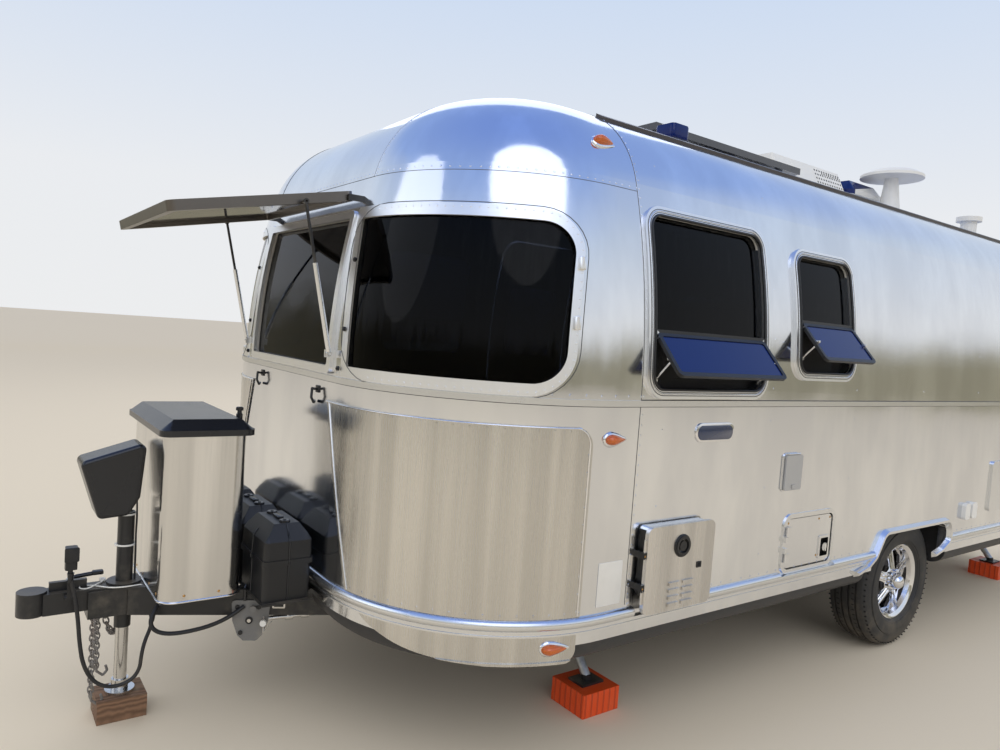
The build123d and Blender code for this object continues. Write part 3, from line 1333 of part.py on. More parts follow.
# Stabilisers let down on plastic pads at the four corners: x, and side by the loop
STABILISER_X = (-1330, 2760)
PAD_H = 100
PAD_Y = 815
with BuildPart() as stabilisers:
    for x in STABILISER_X:
        for side in (LEFT, RIGHT):
            block((x - 90, x + 90), sorted((side * 520, side * 600)), (RAIL_BOTTOM_Z - 6, PAN_BOTTOM_Z))
            rod((x, side * 600, RAIL_BOTTOM_Z - 20), (x, side * PAD_Y, PAD_H + 20), 20)
            block((x - 60, x + 60), sorted((side * (PAD_Y - 45), side * (PAD_Y + 45))), (PAD_H, PAD_H + 10))
            rod((x, side * PAD_Y, PAD_H + 10), (x, side * PAD_Y, PAD_H + 30), 22)
            rod((x - 80, side * 600, RAIL_BOTTOM_Z - 16), (x + 80, side * 600, RAIL_BOTTOM_Z - 16), 16)
save(stabilisers.part, "stabilisers")
with BuildPart() as stabiliser_pads:
    for x in STABILISER_X:
        for side in (LEFT, RIGHT):
            block((x - 100, x + 100), sorted((side * (PAD_Y - 100), side * (PAD_Y + 100))), (0, PAD_H))
save(stabiliser_pads.part, "stabiliser_pads")


# Entry step, folded under the floor
with BuildPart() as step_arms:
    for x in (-470, 20):
        plane = Plane(origin=(x, 0, 0), x_dir=(0, 1, 0), z_dir=(1, 0, 0))
        with BuildSketch(plane) as arm:
            with Locations(STEP_PIVOT, (STEP_PIVOT[0] - STEP_ARM, STEP_PIVOT[1])):
                Circle(16)
            make_hull()
        extrude(arm.sketch, amount=8)
    rod((-475, *STEP_PIVOT), (33, *STEP_PIVOT), 10)
save(step_arms.part, "step_arms")
with BuildPart() as step_tread:
    tread_y = STEP_PIVOT[0] - STEP_ARM
    block((-455, 13), (tread_y - 120, tread_y + 120), (STEP_PIVOT[1] - 14, STEP_PIVOT[1] + 12))
    rod((-462, tread_y, STEP_PIVOT[1]), (20, tread_y, STEP_PIVOT[1]), 9)
save(step_tread.part, "step_tread")


# Inside, as seen through the windows: bed, galley, partition and cushions
room_section_inset = WALL + 6
with BuildSketch() as room_section:
    with Locations((0, FLOOR_Z)):
        Rectangle(CORNER_R - room_section_inset, 330, align=(Align.MIN, Align.MIN))
bed_edge = around(room_section.sketch)
with BuildSketch() as mattress_section:
    with Locations((0, FLOOR_Z + 330)):
        Rectangle(CORNER_R - room_section_inset - 20, 150, align=(Align.MIN, Align.MIN))
mattress_edge = around(mattress_section.sketch)
with BuildSketch() as backrest_section:
    with Locations((CORNER_R - room_section_inset - 130, FLOOR_Z + 480)):
        Rectangle(110, 250, align=(Align.MIN, Align.MIN))
backrest_edge = around(backrest_section.sketch)
BED_REAR_X = -1000
with BuildPart() as furniture:
    add(bed_edge)
    block(*MIDDLE, (FLOOR_Z, FLOOR_Z + 330))
    block((-FAR, BED_REAR_X), (-FAR, FAR), (0, FAR), mode=Mode.INTERSECT)
    block((-760, 90), (-1165, -620), (FLOOR_Z, 1390))
    block((1200, 1230), (-1165, -320), (FLOOR_Z, 1900))
    block((1200, 1230), (320, 1165), (FLOOR_Z, 1900))
    add(wall_skin, mode=Mode.SUBTRACT)
save(furniture.part, "furniture")
with BuildPart() as cushions:
    add(mattress_edge)
    block(*MIDDLE, (FLOOR_Z + 330, FLOOR_Z + 480))
    add(backrest_edge)
    block((-FAR, BED_REAR_X - 10), (-FAR, FAR), (0, FAR), mode=Mode.INTERSECT)
save(cushions.part, "cushions")

print("body", round(FRONT_X), round(REAR_X), "roof", round(ROOF_Z), "corner", round(CORNER_R, 1), round(CORNER_Y, 1))
print("strut", [round(v, 1) for v in eye], round(STRUT_LENGTH, 1), [round(v, 4) for v in strut_dir])
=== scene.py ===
import json
import math

import bmesh
import bpy
from mathutils import Matrix, Vector
from mathutils.bvhtree import BVHTree

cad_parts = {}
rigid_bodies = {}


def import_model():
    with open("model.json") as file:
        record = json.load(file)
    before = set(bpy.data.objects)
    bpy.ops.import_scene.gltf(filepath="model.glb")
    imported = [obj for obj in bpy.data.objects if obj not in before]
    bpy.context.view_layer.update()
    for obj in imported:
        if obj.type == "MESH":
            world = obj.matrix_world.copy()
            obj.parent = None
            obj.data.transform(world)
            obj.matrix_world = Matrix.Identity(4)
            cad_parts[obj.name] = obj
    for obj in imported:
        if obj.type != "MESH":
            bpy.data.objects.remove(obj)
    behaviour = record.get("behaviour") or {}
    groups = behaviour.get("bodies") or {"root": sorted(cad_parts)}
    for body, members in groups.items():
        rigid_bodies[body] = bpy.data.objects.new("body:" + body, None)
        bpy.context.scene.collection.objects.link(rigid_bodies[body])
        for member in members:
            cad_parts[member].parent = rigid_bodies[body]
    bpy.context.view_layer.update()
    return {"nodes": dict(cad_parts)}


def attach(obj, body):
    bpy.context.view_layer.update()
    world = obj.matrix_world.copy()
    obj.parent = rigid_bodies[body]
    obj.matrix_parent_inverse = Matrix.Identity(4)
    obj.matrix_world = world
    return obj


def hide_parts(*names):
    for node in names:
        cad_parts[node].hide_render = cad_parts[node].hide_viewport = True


for leftover in list(bpy.data.objects):
    bpy.data.objects.remove(leftover)
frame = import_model()
nodes = frame["nodes"]

# Travel caravan of riveted aluminium: metres, +Z up, front toward -X, road side at -Y
LEFT, RIGHT = -1, 1
FRONT, REAR = -1, 1
MIDDLE_Z = 1.3
BELT_Z = 1.34
BELT_EDGES_Z = (1.3245, 1.3495)
DOME_SEAM_Z = 2.09
DOME_SEAM_YS = (-0.5, 0.5)
FRONT_AXIS_X = -1.68
REAR_AXIS_X = 2.518
FRONT_SEAM_X = -1.57
REAR_SEAM_X = 2.41
CORNER_Y = 0.5002
AXLE_X, WHEEL_Z, WHEEL_Y = 0.63, 0.355, 1.0475


# Camera where the photographer stood
CAMERA_AT = (-3.522, -3.041, 1.556)
CAMERA_TURN, CAMERA_TILT, CAMERA_ROLL = math.radians(-36.14), math.radians(-3.36), math.radians(4.093)
FOCAL_PIXELS = 744
IMAGE_PIXELS = 1000
SENSOR = 36.0


def set_camera():
    """Camera with the photograph's place, direction and lens."""
    turn, tilt, roll = CAMERA_TURN, CAMERA_TILT, CAMERA_ROLL
    ahead = Vector((-math.sin(turn) * math.cos(tilt), math.cos(turn) * math.cos(tilt), math.sin(tilt)))
    level = Vector((math.cos(turn), math.sin(turn), 0))
    up = level.cross(ahead)
    right_hand = level * math.cos(roll) + up * math.sin(roll)
    upward = up * math.cos(roll) - level * math.sin(roll)
    lens = bpy.data.cameras.new("camera")
    lens.sensor_width = SENSOR
    lens.lens = FOCAL_PIXELS / IMAGE_PIXELS * SENSOR
    lens.clip_end = 400
    camera = bpy.data.objects.new("camera", lens)
    axes = Matrix((right_hand, upward, -ahead)).transposed().to_4x4()
    camera.matrix_world = Matrix.Translation(CAMERA_AT) @ axes
    bpy.context.scene.collection.objects.link(camera)
    bpy.context.scene.camera = camera


set_camera()


# Materials: sums of numbers and colours worked out from the place on the object
class Number:
    """A number in a material's tree, which Python's own operators combine."""

    def __init__(self, finish, socket):
        self.finish = finish
        self.socket = socket

    def maths(self, operation, *inputs):
        """The result of one operation on numbers or plain values."""
        return self.finish.node("Math", {"operation": operation}, inputs)

    def __add__(self, other):
        return self.maths("ADD", self, other)

    def __sub__(self, other):
        return self.maths("SUBTRACT", self, other)

    def __rsub__(self, other):
        return self.maths("SUBTRACT", other, self)

    def __mul__(self, other):
        return self.maths("MULTIPLY", self, other)

    def __truediv__(self, other):
        return self.maths("DIVIDE", self, other)

    def __pow__(self, other):
        return self.maths("POWER", self, other)

    def __lt__(self, other):
        return self.maths("LESS_THAN", self, other)

    def __gt__(self, other):
        return self.maths("GREATER_THAN", self, other)

    def __mod__(self, other):
        return self.maths("FLOORED_MODULO", self, other)

    def __abs__(self):
        return self.maths("ABSOLUTE", self)

    def at_most(self, other):
        """The lower of this and another number."""
        return self.maths("MINIMUM", self, other)

    def at_least(self, other):
        """The higher of this and another number."""
        return self.maths("MAXIMUM", self, other)

    __radd__ = __add__
    __rmul__ = __mul__


class Finish:
    """A material named for what it covers, with its colour, roughness and metal as plain values."""

    def __init__(self, name, colour, roughness, metal=0.0, **shader_values):
        self.material = bpy.data.materials.new(name)
        self.material.use_nodes = True
        self.tree = self.material.node_tree
        self.shader = self.tree.nodes["Principled BSDF"]
        self.colour = (*colour, 1)
        self.set("Base Color", self.colour)
        self.set("Roughness", roughness)
        self.set("Metallic", metal)
        for socket_name, value in shader_values.items():
            self.set(socket_name.replace("_", " "), value)
        self.place = self.node("TexCoord", {}, (), "Object")

    def set(self, socket_name, value):
        """Give one of the shader's sockets a value or a link."""
        self.feed(self.shader.inputs[socket_name], value)

    def feed(self, socket, value):
        """Link a number of the tree to a socket, or write a plain value there."""
        if isinstance(value, Number):
            self.tree.links.new(value.socket, socket)
        else:
            socket.default_value = value

    def node(self, kind, settings=None, inputs=(), output=0):
        """Any node: its kind, its settings, and the values or links of its sockets by number or name."""
        made = self.tree.nodes.new("ShaderNode" + kind)
        for key, value in (settings or {}).items():
            setattr(made, key, value)
        pairs = inputs.items() if isinstance(inputs, dict) else enumerate(inputs)
        for key, value in pairs:
            self.feed(made.inputs[key], value)
        return Number(self, made.outputs[output])

    def parts(self, source):
        """The x, y and z of a place or direction as three numbers."""
        outputs = self.node("SeparateXYZ", {}, (source,)).socket.node.outputs
        return [Number(self, outputs[axis]) for axis in "XYZ"]

    def axes(self):
        """The place's x, y and z."""
        return self.parts(self.place)

    def facing(self):
        """The surface's outward direction along x, y and z."""
        return self.parts(self.node("NewGeometry", {}, (), "True Normal"))

    def noise(self, scale, stretch=(1, 1, 1), detail=3.0, rough=0.5):
        """Cloudy noise over the place, stretched where the scale along an axis is low."""
        place = self.node("Mapping", {}, {"Vector": self.place, "Scale": stretch})
        inputs = {"Vector": place, "Scale": scale, "Detail": detail, "Roughness": rough}
        return self.node("TexNoise", {}, inputs)

    def cells(self, scale):
        """Distance from the middle of the nearest of many cells."""
        return self.node("TexVoronoi", {}, {"Vector": self.place, "Scale": scale})

    def between(self, value, low, high, new_low=0.0, new_high=1.0):
        """Value from low to high, spread smoothly over a new span and held at its ends."""
        spans = (value, low, high, new_low, new_high)
        return self.node("MapRange", {"interpolation_type": "SMOOTHSTEP"}, spans)

    def mix(self, mask, under, over):
        """Colour under where the mask is 0 and colour over where it is 1."""
        under = (*under, 1) if isinstance(under, tuple) and len(under) == 3 else under
        over = (*over, 1) if isinstance(over, tuple) and len(over) == 3 else over
        return self.node("Mix", {"data_type": "RGBA"}, {0: mask, 6: under, 7: over}, 2)

    def bump(self, height, distance, strength=1.0, under=None):
        """Raise the surface by height times distance, over another bump where one is given."""
        inputs = {"Height": height, "Distance": distance, "Strength": strength}
        if under is not None:
            inputs["Normal"] = under
        return self.node("Bump", {}, inputs)


def polished_skin(name, inside=(0.62, 0.60, 0.56)):
    """Clear-coated aluminium sheet: rolled grain, slight waves, and pale lining on the inner face."""
    skin = Finish(name, (0.80, 0.81, 0.83), 0.2, 1.0)
    x, y, z = skin.axes()
    away_x, away_y, away_z = skin.facing()
    past_front = (x - FRONT_AXIS_X).at_most(0.0)
    past_rear = (x - REAR_AXIS_X).at_least(0.0)
    outward = (past_front + past_rear) * away_x + y * away_y + (z - MIDDLE_Z) * away_z
    lining = outward < 0.0
    waves = skin.noise(1.6, detail=1.5)
    grain = skin.noise(60, stretch=(1, 1, 0.06), detail=2)
    smears = skin.noise(3.2, stretch=(1, 1, 0.35), detail=4, rough=0.6)
    tone = skin.mix(skin.between(smears, 0.35, 0.7), (0.74, 0.75, 0.77), (0.86, 0.87, 0.88))
    skin.set("Base Color", skin.mix(lining, tone, inside))
    skin.set("Metallic", 1.0 - lining)
    polish = 0.075 + skin.between(smears, 0.3, 0.75, 0.0, 0.07) + grain * 0.05
    skin.set("Roughness", polish + lining * 0.5)
    rolled = skin.bump(grain, 0.0002, 0.25)
    skin.set("Normal", skin.bump(waves, 0.02, 0.35, rolled))
    return skin.material


def brushed_sheet(name, colour, roughness, stretch=(1, 1, 0.02)):
    """Stainless sheet brushed one way."""
    sheet = Finish(name, colour, roughness, 1.0)
    lines = sheet.noise(220, stretch=stretch, detail=3, rough=0.7)
    broad = sheet.noise(14, stretch=stretch, detail=2)
    streaks = sheet.between(broad, 0.35, 0.65)
    sheet.set("Base Color", sheet.mix(streaks, tuple(0.82 * part for part in colour), colour))
    sheet.set("Roughness", roughness - 0.05 + sheet.between(lines, 0.3, 0.7, 0.0, 0.12))
    sheet.set("Normal", sheet.bump(lines, 0.0004, 0.35))
    return sheet.material


def satin_metal(name, colour, roughness, soil=0.15, soil_colour=(0.30, 0.28, 0.25)):
    """Extruded or cast aluminium with a satin face and a little soil."""
    metal = Finish(name, colour, roughness, 1.0)
    cloud = metal.noise(9, detail=5, rough=0.6)
    fine = metal.noise(260, detail=2)
    soiled = metal.between(cloud, 0.56, 0.8, 0.0, soil)
    metal.set("Base Color", metal.mix(soiled, colour, soil_colour))
    metal.set("Roughness", roughness - 0.05 + fine * 0.1 + soiled * 0.4)
    metal.set("Normal", metal.bump(fine, 0.0002, 0.2))
    return metal.material


def mirror_plate(name, colour, roughness=0.08):
    """Bright plated or polished steel."""
    plate = Finish(name, colour, roughness, 1.0)
    haze = plate.noise(30, detail=4)
    plate.set("Roughness", roughness + plate.between(haze, 0.45, 0.8, 0.0, 0.12))
    return plate.material


def tinted_glass(name, tint, roughness=0.02):
    """Dark glass with faint dried rain runs."""
    glass = Finish(name, tint, roughness, 0.0, Transmission_Weight=1.0, IOR=1.2, Specular_IOR_Level=0.3)
    runs = glass.noise(24, stretch=(1, 1, 0.05), detail=4, rough=0.7)
    patches = glass.noise(2.5, detail=2)
    dust = glass.between(runs * 0.6 + patches * 0.4, 0.52, 0.7)
    glass.set("Roughness", roughness + dust * 0.07)
    glass.set("Base Color", glass.mix(dust * 0.08, tint, (0.5, 0.5, 0.48)))
    return glass.material


def painted_steel(name, colour, roughness, dust=0.35, dust_colour=(0.42, 0.36, 0.27)):
    """Powder-coated steel with road dust on what faces up."""
    paint = Finish(name, colour, roughness, 0.0, Coat_Weight=0.15)
    peel = paint.noise(420, detail=2)
    cloud = paint.noise(7, detail=5, rough=0.65)
    up = paint.facing()[2]
    settled = paint.between(cloud + up * 0.18, 0.5, 0.85, 0.0, dust)
    paint.set("Base Color", paint.mix(settled, colour, dust_colour))
    paint.set("Roughness", roughness + settled * 0.4)
    paint.set("Normal", paint.bump(peel, 0.0004, 0.3))
    return paint.material


def moulded_plastic(name, colour, roughness, texture=0.0006, fade=0.2, faded=(0.3, 0.3, 0.3)):
    """Moulded plastic with a fine leather texture, faded in the sun."""
    plastic = Finish(name, colour, roughness)
    pebbles = plastic.cells(620)
    cloud = plastic.noise(5, detail=4)
    sun = plastic.between(cloud, 0.4, 0.75, 0.0, fade)
    plastic.set("Base Color", plastic.mix(sun, colour, faded))
    plastic.set("Roughness", roughness + sun * 0.25)
    plastic.set("Normal", plastic.bump(pebbles, texture, 0.35))
    return plastic.material


def ribbed_plastic(name, colour, faded):
    """Moulded levelling block: upright ribs on its sides, and dust on its top."""
    plastic = Finish(name, colour, 0.42)
    x, y, _ = plastic.axes()
    upright = 1.0 - plastic.between(abs(plastic.facing()[2]), 0.4, 0.6)
    ribs = plastic.between(abs((x + y) * 30.0 % 1.0 - 0.5), 0.30, 0.42) * upright
    cloud = plastic.noise(9, detail=5)
    dust = plastic.between(cloud + (1.0 - upright) * 0.1, 0.5, 0.8, 0.0, 0.45)
    # The ribs are painted a darker orange: painted shade along the ribs
    painted_rib_shade = plastic.mix(ribs * 0.45, colour, (0.30, 0.03, 0.006))
    plastic.set("Base Color", plastic.mix(dust, painted_rib_shade, faded))
    plastic.set("Roughness", 0.38 + dust * 0.35)
    plastic.set("Normal", plastic.bump(ribs, 0.004, 0.6))
    return plastic.material


def galvanised_steel(name):
    """Zinc-coated steel with its spangle and a little white bloom."""
    zinc = Finish(name, (0.50, 0.51, 0.52), 0.42, 1.0)
    spangle = zinc.cells(70)
    bloom = zinc.between(zinc.noise(11, detail=5), 0.5, 0.75)
    zinc.set("Base Color", zinc.mix(spangle, (0.42, 0.43, 0.45), (0.62, 0.63, 0.64)))
    zinc.set("Roughness", 0.36 + spangle * 0.12 + bloom * 0.15)
    zinc.set("Normal", zinc.bump(zinc.noise(300), 0.0003, 0.2))
    return zinc.material


def lamp_lens(name, colour):
    """Moulded lens with fine prisms behind a smooth face."""
    lens = Finish(name, colour, 0.08, 0.0, Transmission_Weight=0.35, Coat_Weight=0.6)
    x, y, z = lens.axes()
    prisms = abs((x + y) * 170.0 % 1.0 - 0.5) + abs(z * 170.0 % 1.0 - 0.5)
    lens.set("Base Color", lens.mix(prisms, colour, tuple(0.55 * part for part in colour)))
    lens.set("Normal", lens.bump(prisms, 0.0012, 0.6))
    return lens.material


def tread_rubber(name, colour=(0.022, 0.022, 0.023), dust=0.3):
    """Tyre rubber, greyer with dust low down."""
    rubber = Finish(name, colour, 0.62)
    cloud = rubber.noise(12, detail=5, rough=0.65)
    low = rubber.between(rubber.axes()[2], 0.35, 0.0)
    dusty = rubber.between(cloud + low * 0.25, 0.5, 0.95, 0.0, dust)
    rubber.set("Base Color", rubber.mix(dusty, colour, (0.30, 0.25, 0.18)))
    rubber.set("Roughness", 0.55 + dusty * 0.4)
    rubber.set("Normal", rubber.bump(rubber.noise(500), 0.0005, 0.3))
    return rubber.material


def sawn_timber(name):
    """Dark rough-sawn block: rings on its ends, saw marks along it and dried mud."""
    timber = Finish(name, (0.22, 0.12, 0.07), 0.8)
    rings = timber.node("TexWave", {"wave_type": "RINGS", "rings_direction": "X"},
                        {"Vector": timber.place, "Scale": 28.0, "Distortion": 3.0, "Detail": 3.0})
    fibres = timber.noise(90, stretch=(0.05, 1, 1), detail=4)
    mud = timber.between(timber.noise(9, detail=5), 0.52, 0.7)
    wood = timber.mix(rings * 0.6 + fibres * 0.4, (0.10, 0.055, 0.032), (0.30, 0.17, 0.10))
    timber.set("Base Color", timber.mix(mud * 0.5, wood, (0.33, 0.27, 0.19)))
    timber.set("Normal", timber.bump(fibres + rings * 0.4, 0.003, 0.5))
    return timber.material


def woven_cloth(name, colour, light):
    """Woven cloth: over-and-under threads, with the colour broken a little between them."""
    cloth = Finish(name, colour, 0.85, 0.0, Sheen_Weight=0.35)
    x, y, z = cloth.axes()
    warp = abs((x + z * 0.7) * 480.0 % 1.0 - 0.5)
    weft = abs((y + z * 0.7) * 480.0 % 1.0 - 0.5)
    slub = cloth.noise(70, detail=4)
    cloth.set("Base Color", cloth.mix(slub * 0.7 + warp * 0.3, colour, light))
    cloth.set("Normal", cloth.bump(warp + weft + slub * 0.5, 0.0012, 0.5))
    return cloth.material


def faced_board(name, colour, dark):
    """Light wood-faced board with a long straight grain."""
    board = Finish(name, colour, 0.45)
    figure = board.noise(16, stretch=(1, 1, 0.08), detail=6, rough=0.65)
    board.set("Base Color", board.mix(board.between(figure, 0.35, 0.65), dark, colour))
    board.set("Roughness", 0.38 + figure * 0.2)
    board.set("Normal", board.bump(figure, 0.0008, 0.3))
    return board.material


def solar_cells(name):
    """Dark cells under glass: pale gaps between them and fine silver bars across."""
    cells = Finish(name, (0.012, 0.014, 0.035), 0.12, 0.0, Coat_Weight=0.7)
    x, y, _ = cells.axes()
    gap_x = abs(x * 8.0 % 1.0 - 0.5) > 0.488
    gap_y = abs(y * 8.0 % 1.0 - 0.5) > 0.488
    bars = abs(x * 40.0 % 1.0 - 0.5) > 0.47
    up = cells.facing()[2] > 0.5
    side = 1.0 - up
    crystal = cells.mix(cells.noise(30), (0.008, 0.010, 0.030), (0.020, 0.024, 0.060))
    silver = (bars * 0.35).at_least(gap_x.at_least(gap_y) * 0.5)
    lined = cells.mix(silver, crystal, (0.45, 0.46, 0.48))
    cells.set("Base Color", cells.mix(side, lined, (0.04, 0.04, 0.045)))
    cells.set("Roughness", 0.1 + side * 0.25)
    return cells.material


def perforated_shroud(name):
    """White moulded shroud with faint stains; the holes are pieces of their own, black discs of painted
    shade.
    """
    shroud = Finish(name, (0.86, 0.86, 0.84), 0.38)
    cloud = shroud.noise(6, detail=5)
    stain = shroud.between(cloud, 0.5, 0.8, 0.0, 0.35)
    shroud.set("Base Color", shroud.mix(stain, (0.86, 0.86, 0.84), (0.62, 0.60, 0.55)))
    shroud.set("Roughness", 0.34 + stain * 0.3)
    shroud.set("Normal", shroud.bump(shroud.noise(220), 0.0006, 0.25))
    return shroud.material


def insect_mesh(name):
    """Fine black mesh, partly see-through."""
    mesh = Finish(name, (0.02, 0.02, 0.02), 0.7)
    x, _, z = mesh.axes()
    threads = (abs(x * 420.0 % 1.0 - 0.5) > 0.36) + (abs(z * 420.0 % 1.0 - 0.5) > 0.36)
    mesh.set("Alpha", mesh.between(threads, 0.0, 1.0, 0.35, 0.95))
    return mesh.material


def plain_paint(name, colour, roughness, mottle=0.08, **shader_values):
    """Smooth paint with a slight mottle."""
    paint = Finish(name, colour, roughness, 0.0, **shader_values)
    cloud = paint.noise(14, detail=4)
    darker = tuple(0.8 * part for part in colour)
    paint.set("Base Color", paint.mix(paint.between(cloud, 0.4, 0.8, 0.0, mottle * 5), colour, darker))
    paint.set("Normal", paint.bump(paint.noise(340), 0.0003, 0.2))
    return paint.material


SKIN = polished_skin("polished_skin")
BRUSHED_DOOR = brushed_sheet("brushed_door", (0.72, 0.70, 0.67), 0.3)
DARK_FRAME = satin_metal("dark_frame", (0.17, 0.155, 0.14), 0.34, 0.2)
GLOSS_BLACK = moulded_plastic("gloss_black_plastic", (0.012, 0.013, 0.016), 0.24, 0.0002, 0.08,
                              (0.05, 0.05, 0.05))
GREY_PLATE = painted_steel("grey_plate", (0.17, 0.17, 0.17), 0.5, 0.5)
SCREW_BLACK = plain_paint("black_screw", (0.012, 0.012, 0.013), 0.35, 0.05)
GUARD_SHEET = brushed_sheet("brushed_guard", (0.70, 0.68, 0.64), 0.24)
COVER_SHEET = brushed_sheet("polished_steel", (0.76, 0.75, 0.73), 0.16)
FRAME_METAL = satin_metal("frame_aluminium", (0.78, 0.79, 0.80), 0.24)
WINDOW_RIM = satin_metal("window_rim", (0.90, 0.90, 0.89), 0.36, 0.05)
CHROME = mirror_plate("chrome_part", (0.82, 0.82, 0.83))
WORN_CHROME = mirror_plate("worn_chrome", (0.66, 0.65, 0.63), 0.2)
GLASS = tinted_glass("dark_glass", (0.016, 0.024, 0.050))
PANE_GLASS = plain_paint("lower_pane_glass", (0.002, 0.014, 0.115), 0.06, 0.02, Specular_IOR_Level=0.3)
GUARD_TINT = tinted_glass("guard_tint", (0.10, 0.085, 0.075), 0.05)
BLACK_STEEL = painted_steel("black_steel", (0.012, 0.0125, 0.014), 0.38, 0.22)
ZINC = galvanised_steel("galvanised")
# Painted shade: the belly pan and wheel wells are near-black for the shade under the body, with road dust on
# them
UNDERSIDE_SHADE = painted_steel("underside", (0.030, 0.030, 0.032), 0.6, 0.4, (0.16, 0.13, 0.10))
# Black plastic, and also painted shade in the heater door's reveal
BLACK_PLASTIC_AND_SHADE = moulded_plastic("black_plastic", (0.009, 0.0095, 0.011), 0.36, fade=0.08,
                                faded=(0.06, 0.06, 0.06))
BLACK_RUBBER = tread_rubber("cable_rubber", (0.018, 0.018, 0.019), 0.15)
TYRE_RUBBER = tread_rubber("tread_rubber")
WHITE_PLASTIC = moulded_plastic("white_plastic", (0.84, 0.84, 0.82), 0.36, 0.0003, 0.3, (0.68, 0.65, 0.58))
SHROUD = perforated_shroud("perforated_shroud")
WARM_PAINT = plain_paint("warm_white_paint", (0.66, 0.62, 0.57), 0.34, 0.1)
AMBER = lamp_lens("amber_lens", (0.95, 0.20, 0.015))
RED = lamp_lens("red_lens", (0.62, 0.015, 0.012))
ORANGE = ribbed_plastic("orange_plastic", (0.82, 0.085, 0.012), (0.72, 0.15, 0.05))
TIMBER = sawn_timber("rough_timber")
BOARD = faced_board("plywood", (0.50, 0.38, 0.26), (0.38, 0.27, 0.17))
BLUE_CLOTH = woven_cloth("blue_fabric", (0.025, 0.06, 0.22), (0.06, 0.13, 0.38))
AWNING_CLOTH = woven_cloth("awning_cloth", (0.36, 0.37, 0.39), (0.48, 0.49, 0.51))
CELLS = solar_cells("cell_glass")
ALLOY = mirror_plate("alloy", (0.82, 0.82, 0.83), 0.14)
MESH = insect_mesh("screen_mesh")
BLANK_WHITE = plain_paint("blank_label", (0.78, 0.77, 0.74), 0.4, 0.06)
BADGE_BLUE = plain_paint("badge_enamel", (0.02, 0.035, 0.09), 0.2, 0.05, Coat_Weight=0.8)
# Dark grey lines: real sealant at the sheets' laps, and painted shade where they stand for the window frames'
# grooves and the belt moulding's shadows
SEALANT_AND_SHADE = plain_paint("sealant_and_painted_shade", (0.09, 0.09, 0.09), 0.6, 0.1)
BRASS_SCREW = mirror_plate("brass_screw", (0.62, 0.36, 0.14), 0.3)
ROOF_EDGE = satin_metal("roof_edge_strip", (0.10, 0.085, 0.075), 0.4, 0.3)
RUSTY = painted_steel("worn_chain", (0.20, 0.19, 0.18), 0.5, 0.7, (0.25, 0.14, 0.08))
# Near-black paint that stands for the shade in hollows: the tread's cuts, the shroud's holes and the
# exhaust's slot
HOLLOW_SHADE = plain_paint("painted_hollow_shade", (0.006, 0.006, 0.006), 0.9)
DRUM = painted_steel("brake_drum", (0.06, 0.055, 0.05), 0.6, 0.5, (0.20, 0.13, 0.09))
LIGHT_GREY = moulded_plastic("light_grey_plastic", (0.42, 0.42, 0.42), 0.4, 0.0004, 0.2, (0.55, 0.54, 0.5))

NODE_FINISHES = {
    SKIN: "front_end end_domes rear_end wall_left wall_right roof entry_door storage_hatch mouldings",
    WINDOW_RIM: "window_frames",
    FRAME_METAL: "rub_rail strut_tubes bumper step_tread awning_arms side_fittings",
    DARK_FRAME: "guard_frame",
    BRUSHED_DOOR: "heater_door",
    GUARD_SHEET: "stone_guards",
    COVER_SHEET: "gas_cover",
    GLASS: "side_glass end_glass door_glass",
    GUARD_TINT: "guard_panel",
    MESH: "insect_screens",
    BLACK_STEEL: "tongue_rail_left tongue_rail_right chassis_rails coupler jack_post axle tongue_fittings "
                 "strut_rods",
    ZINC: "stabilisers step_arms",
    UNDERSIDE_SHADE: "belly_pan wheel_wells",
    WORN_CHROME: "jack_leg",
    BLACK_PLASTIC_AND_SHADE: "battery_boxes tow_plug",
    GLOSS_BLACK: "gas_lid jack_head",
    WHITE_PLASTIC: "roof_fittings",
    SHROUD: "air_conditioner",
    WARM_PAINT: "gas_bottles",
    LIGHT_GREY: "inlet_lid",
    AMBER: "amber_lamps",
    RED: "red_lamps",
    ORANGE: "stabiliser_pads",
    TIMBER: "jack_block",
    BOARD: "floor furniture",
    BLUE_CLOTH: "cushions",
    AWNING_CLOTH: "awning_roller",
    TYRE_RUBBER: "tyre_left tyre_right",
    ALLOY: "rim_left rim_right",
    BLACK_RUBBER: "tow_cable",
    CELLS: "solar_panels",
}
for finish, names in NODE_FINISHES.items():
    for name in names.split():
        nodes[name].data.materials.clear()
        nodes[name].data.materials.append(finish)


# Pieces: each is made in metres where it belongs, and its object stays at the origin
def keep(name, data, finishes, body):
    """Make an object of a mesh or curve, give it its finishes, and let it ride on a body."""
    piece = bpy.data.objects.new(name, data)
    bpy.context.scene.collection.objects.link(piece)
    for finish in finishes:
        data.materials.append(finish)
    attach(piece, body)
    return piece


def finish_shape(name, shape, finishes, body="trailer", sharp=32):
    """Turn a finished bmesh into a piece, smooth but for its sharp edges."""
    bmesh.ops.recalc_face_normals(shape, faces=shape.faces)
    mesh = bpy.data.meshes.new(name)
    shape.to_mesh(mesh)
    shape.free()
    mesh.polygons.foreach_set("use_smooth", [True] * len(mesh.polygons))
    mesh.set_sharp_from_angle(angle=math.radians(sharp))
    return keep(name, mesh, finishes, body)


def whole(corner):
    """Every corner joined to this one."""
    found, fresh = {corner: True}, [corner]
    while fresh:
        fresh = [edge.other_vert(near) for near in fresh for edge in near.link_edges]
        fresh = [near for near in dict.fromkeys(fresh) if near not in found]
        found.update(dict.fromkeys(fresh, True))
    return list(found)


def give_finish(corners, finish):
    """Give the faces round some corners one of their piece's finishes, by its number."""
    for face in {face for corner in corners for face in corner.link_faces}:
        face.material_index = finish


def edges_of(corners):
    """The edges that meet at some corners, each once."""
    return list(dict.fromkeys(edge for corner in corners for edge in corner.link_edges))


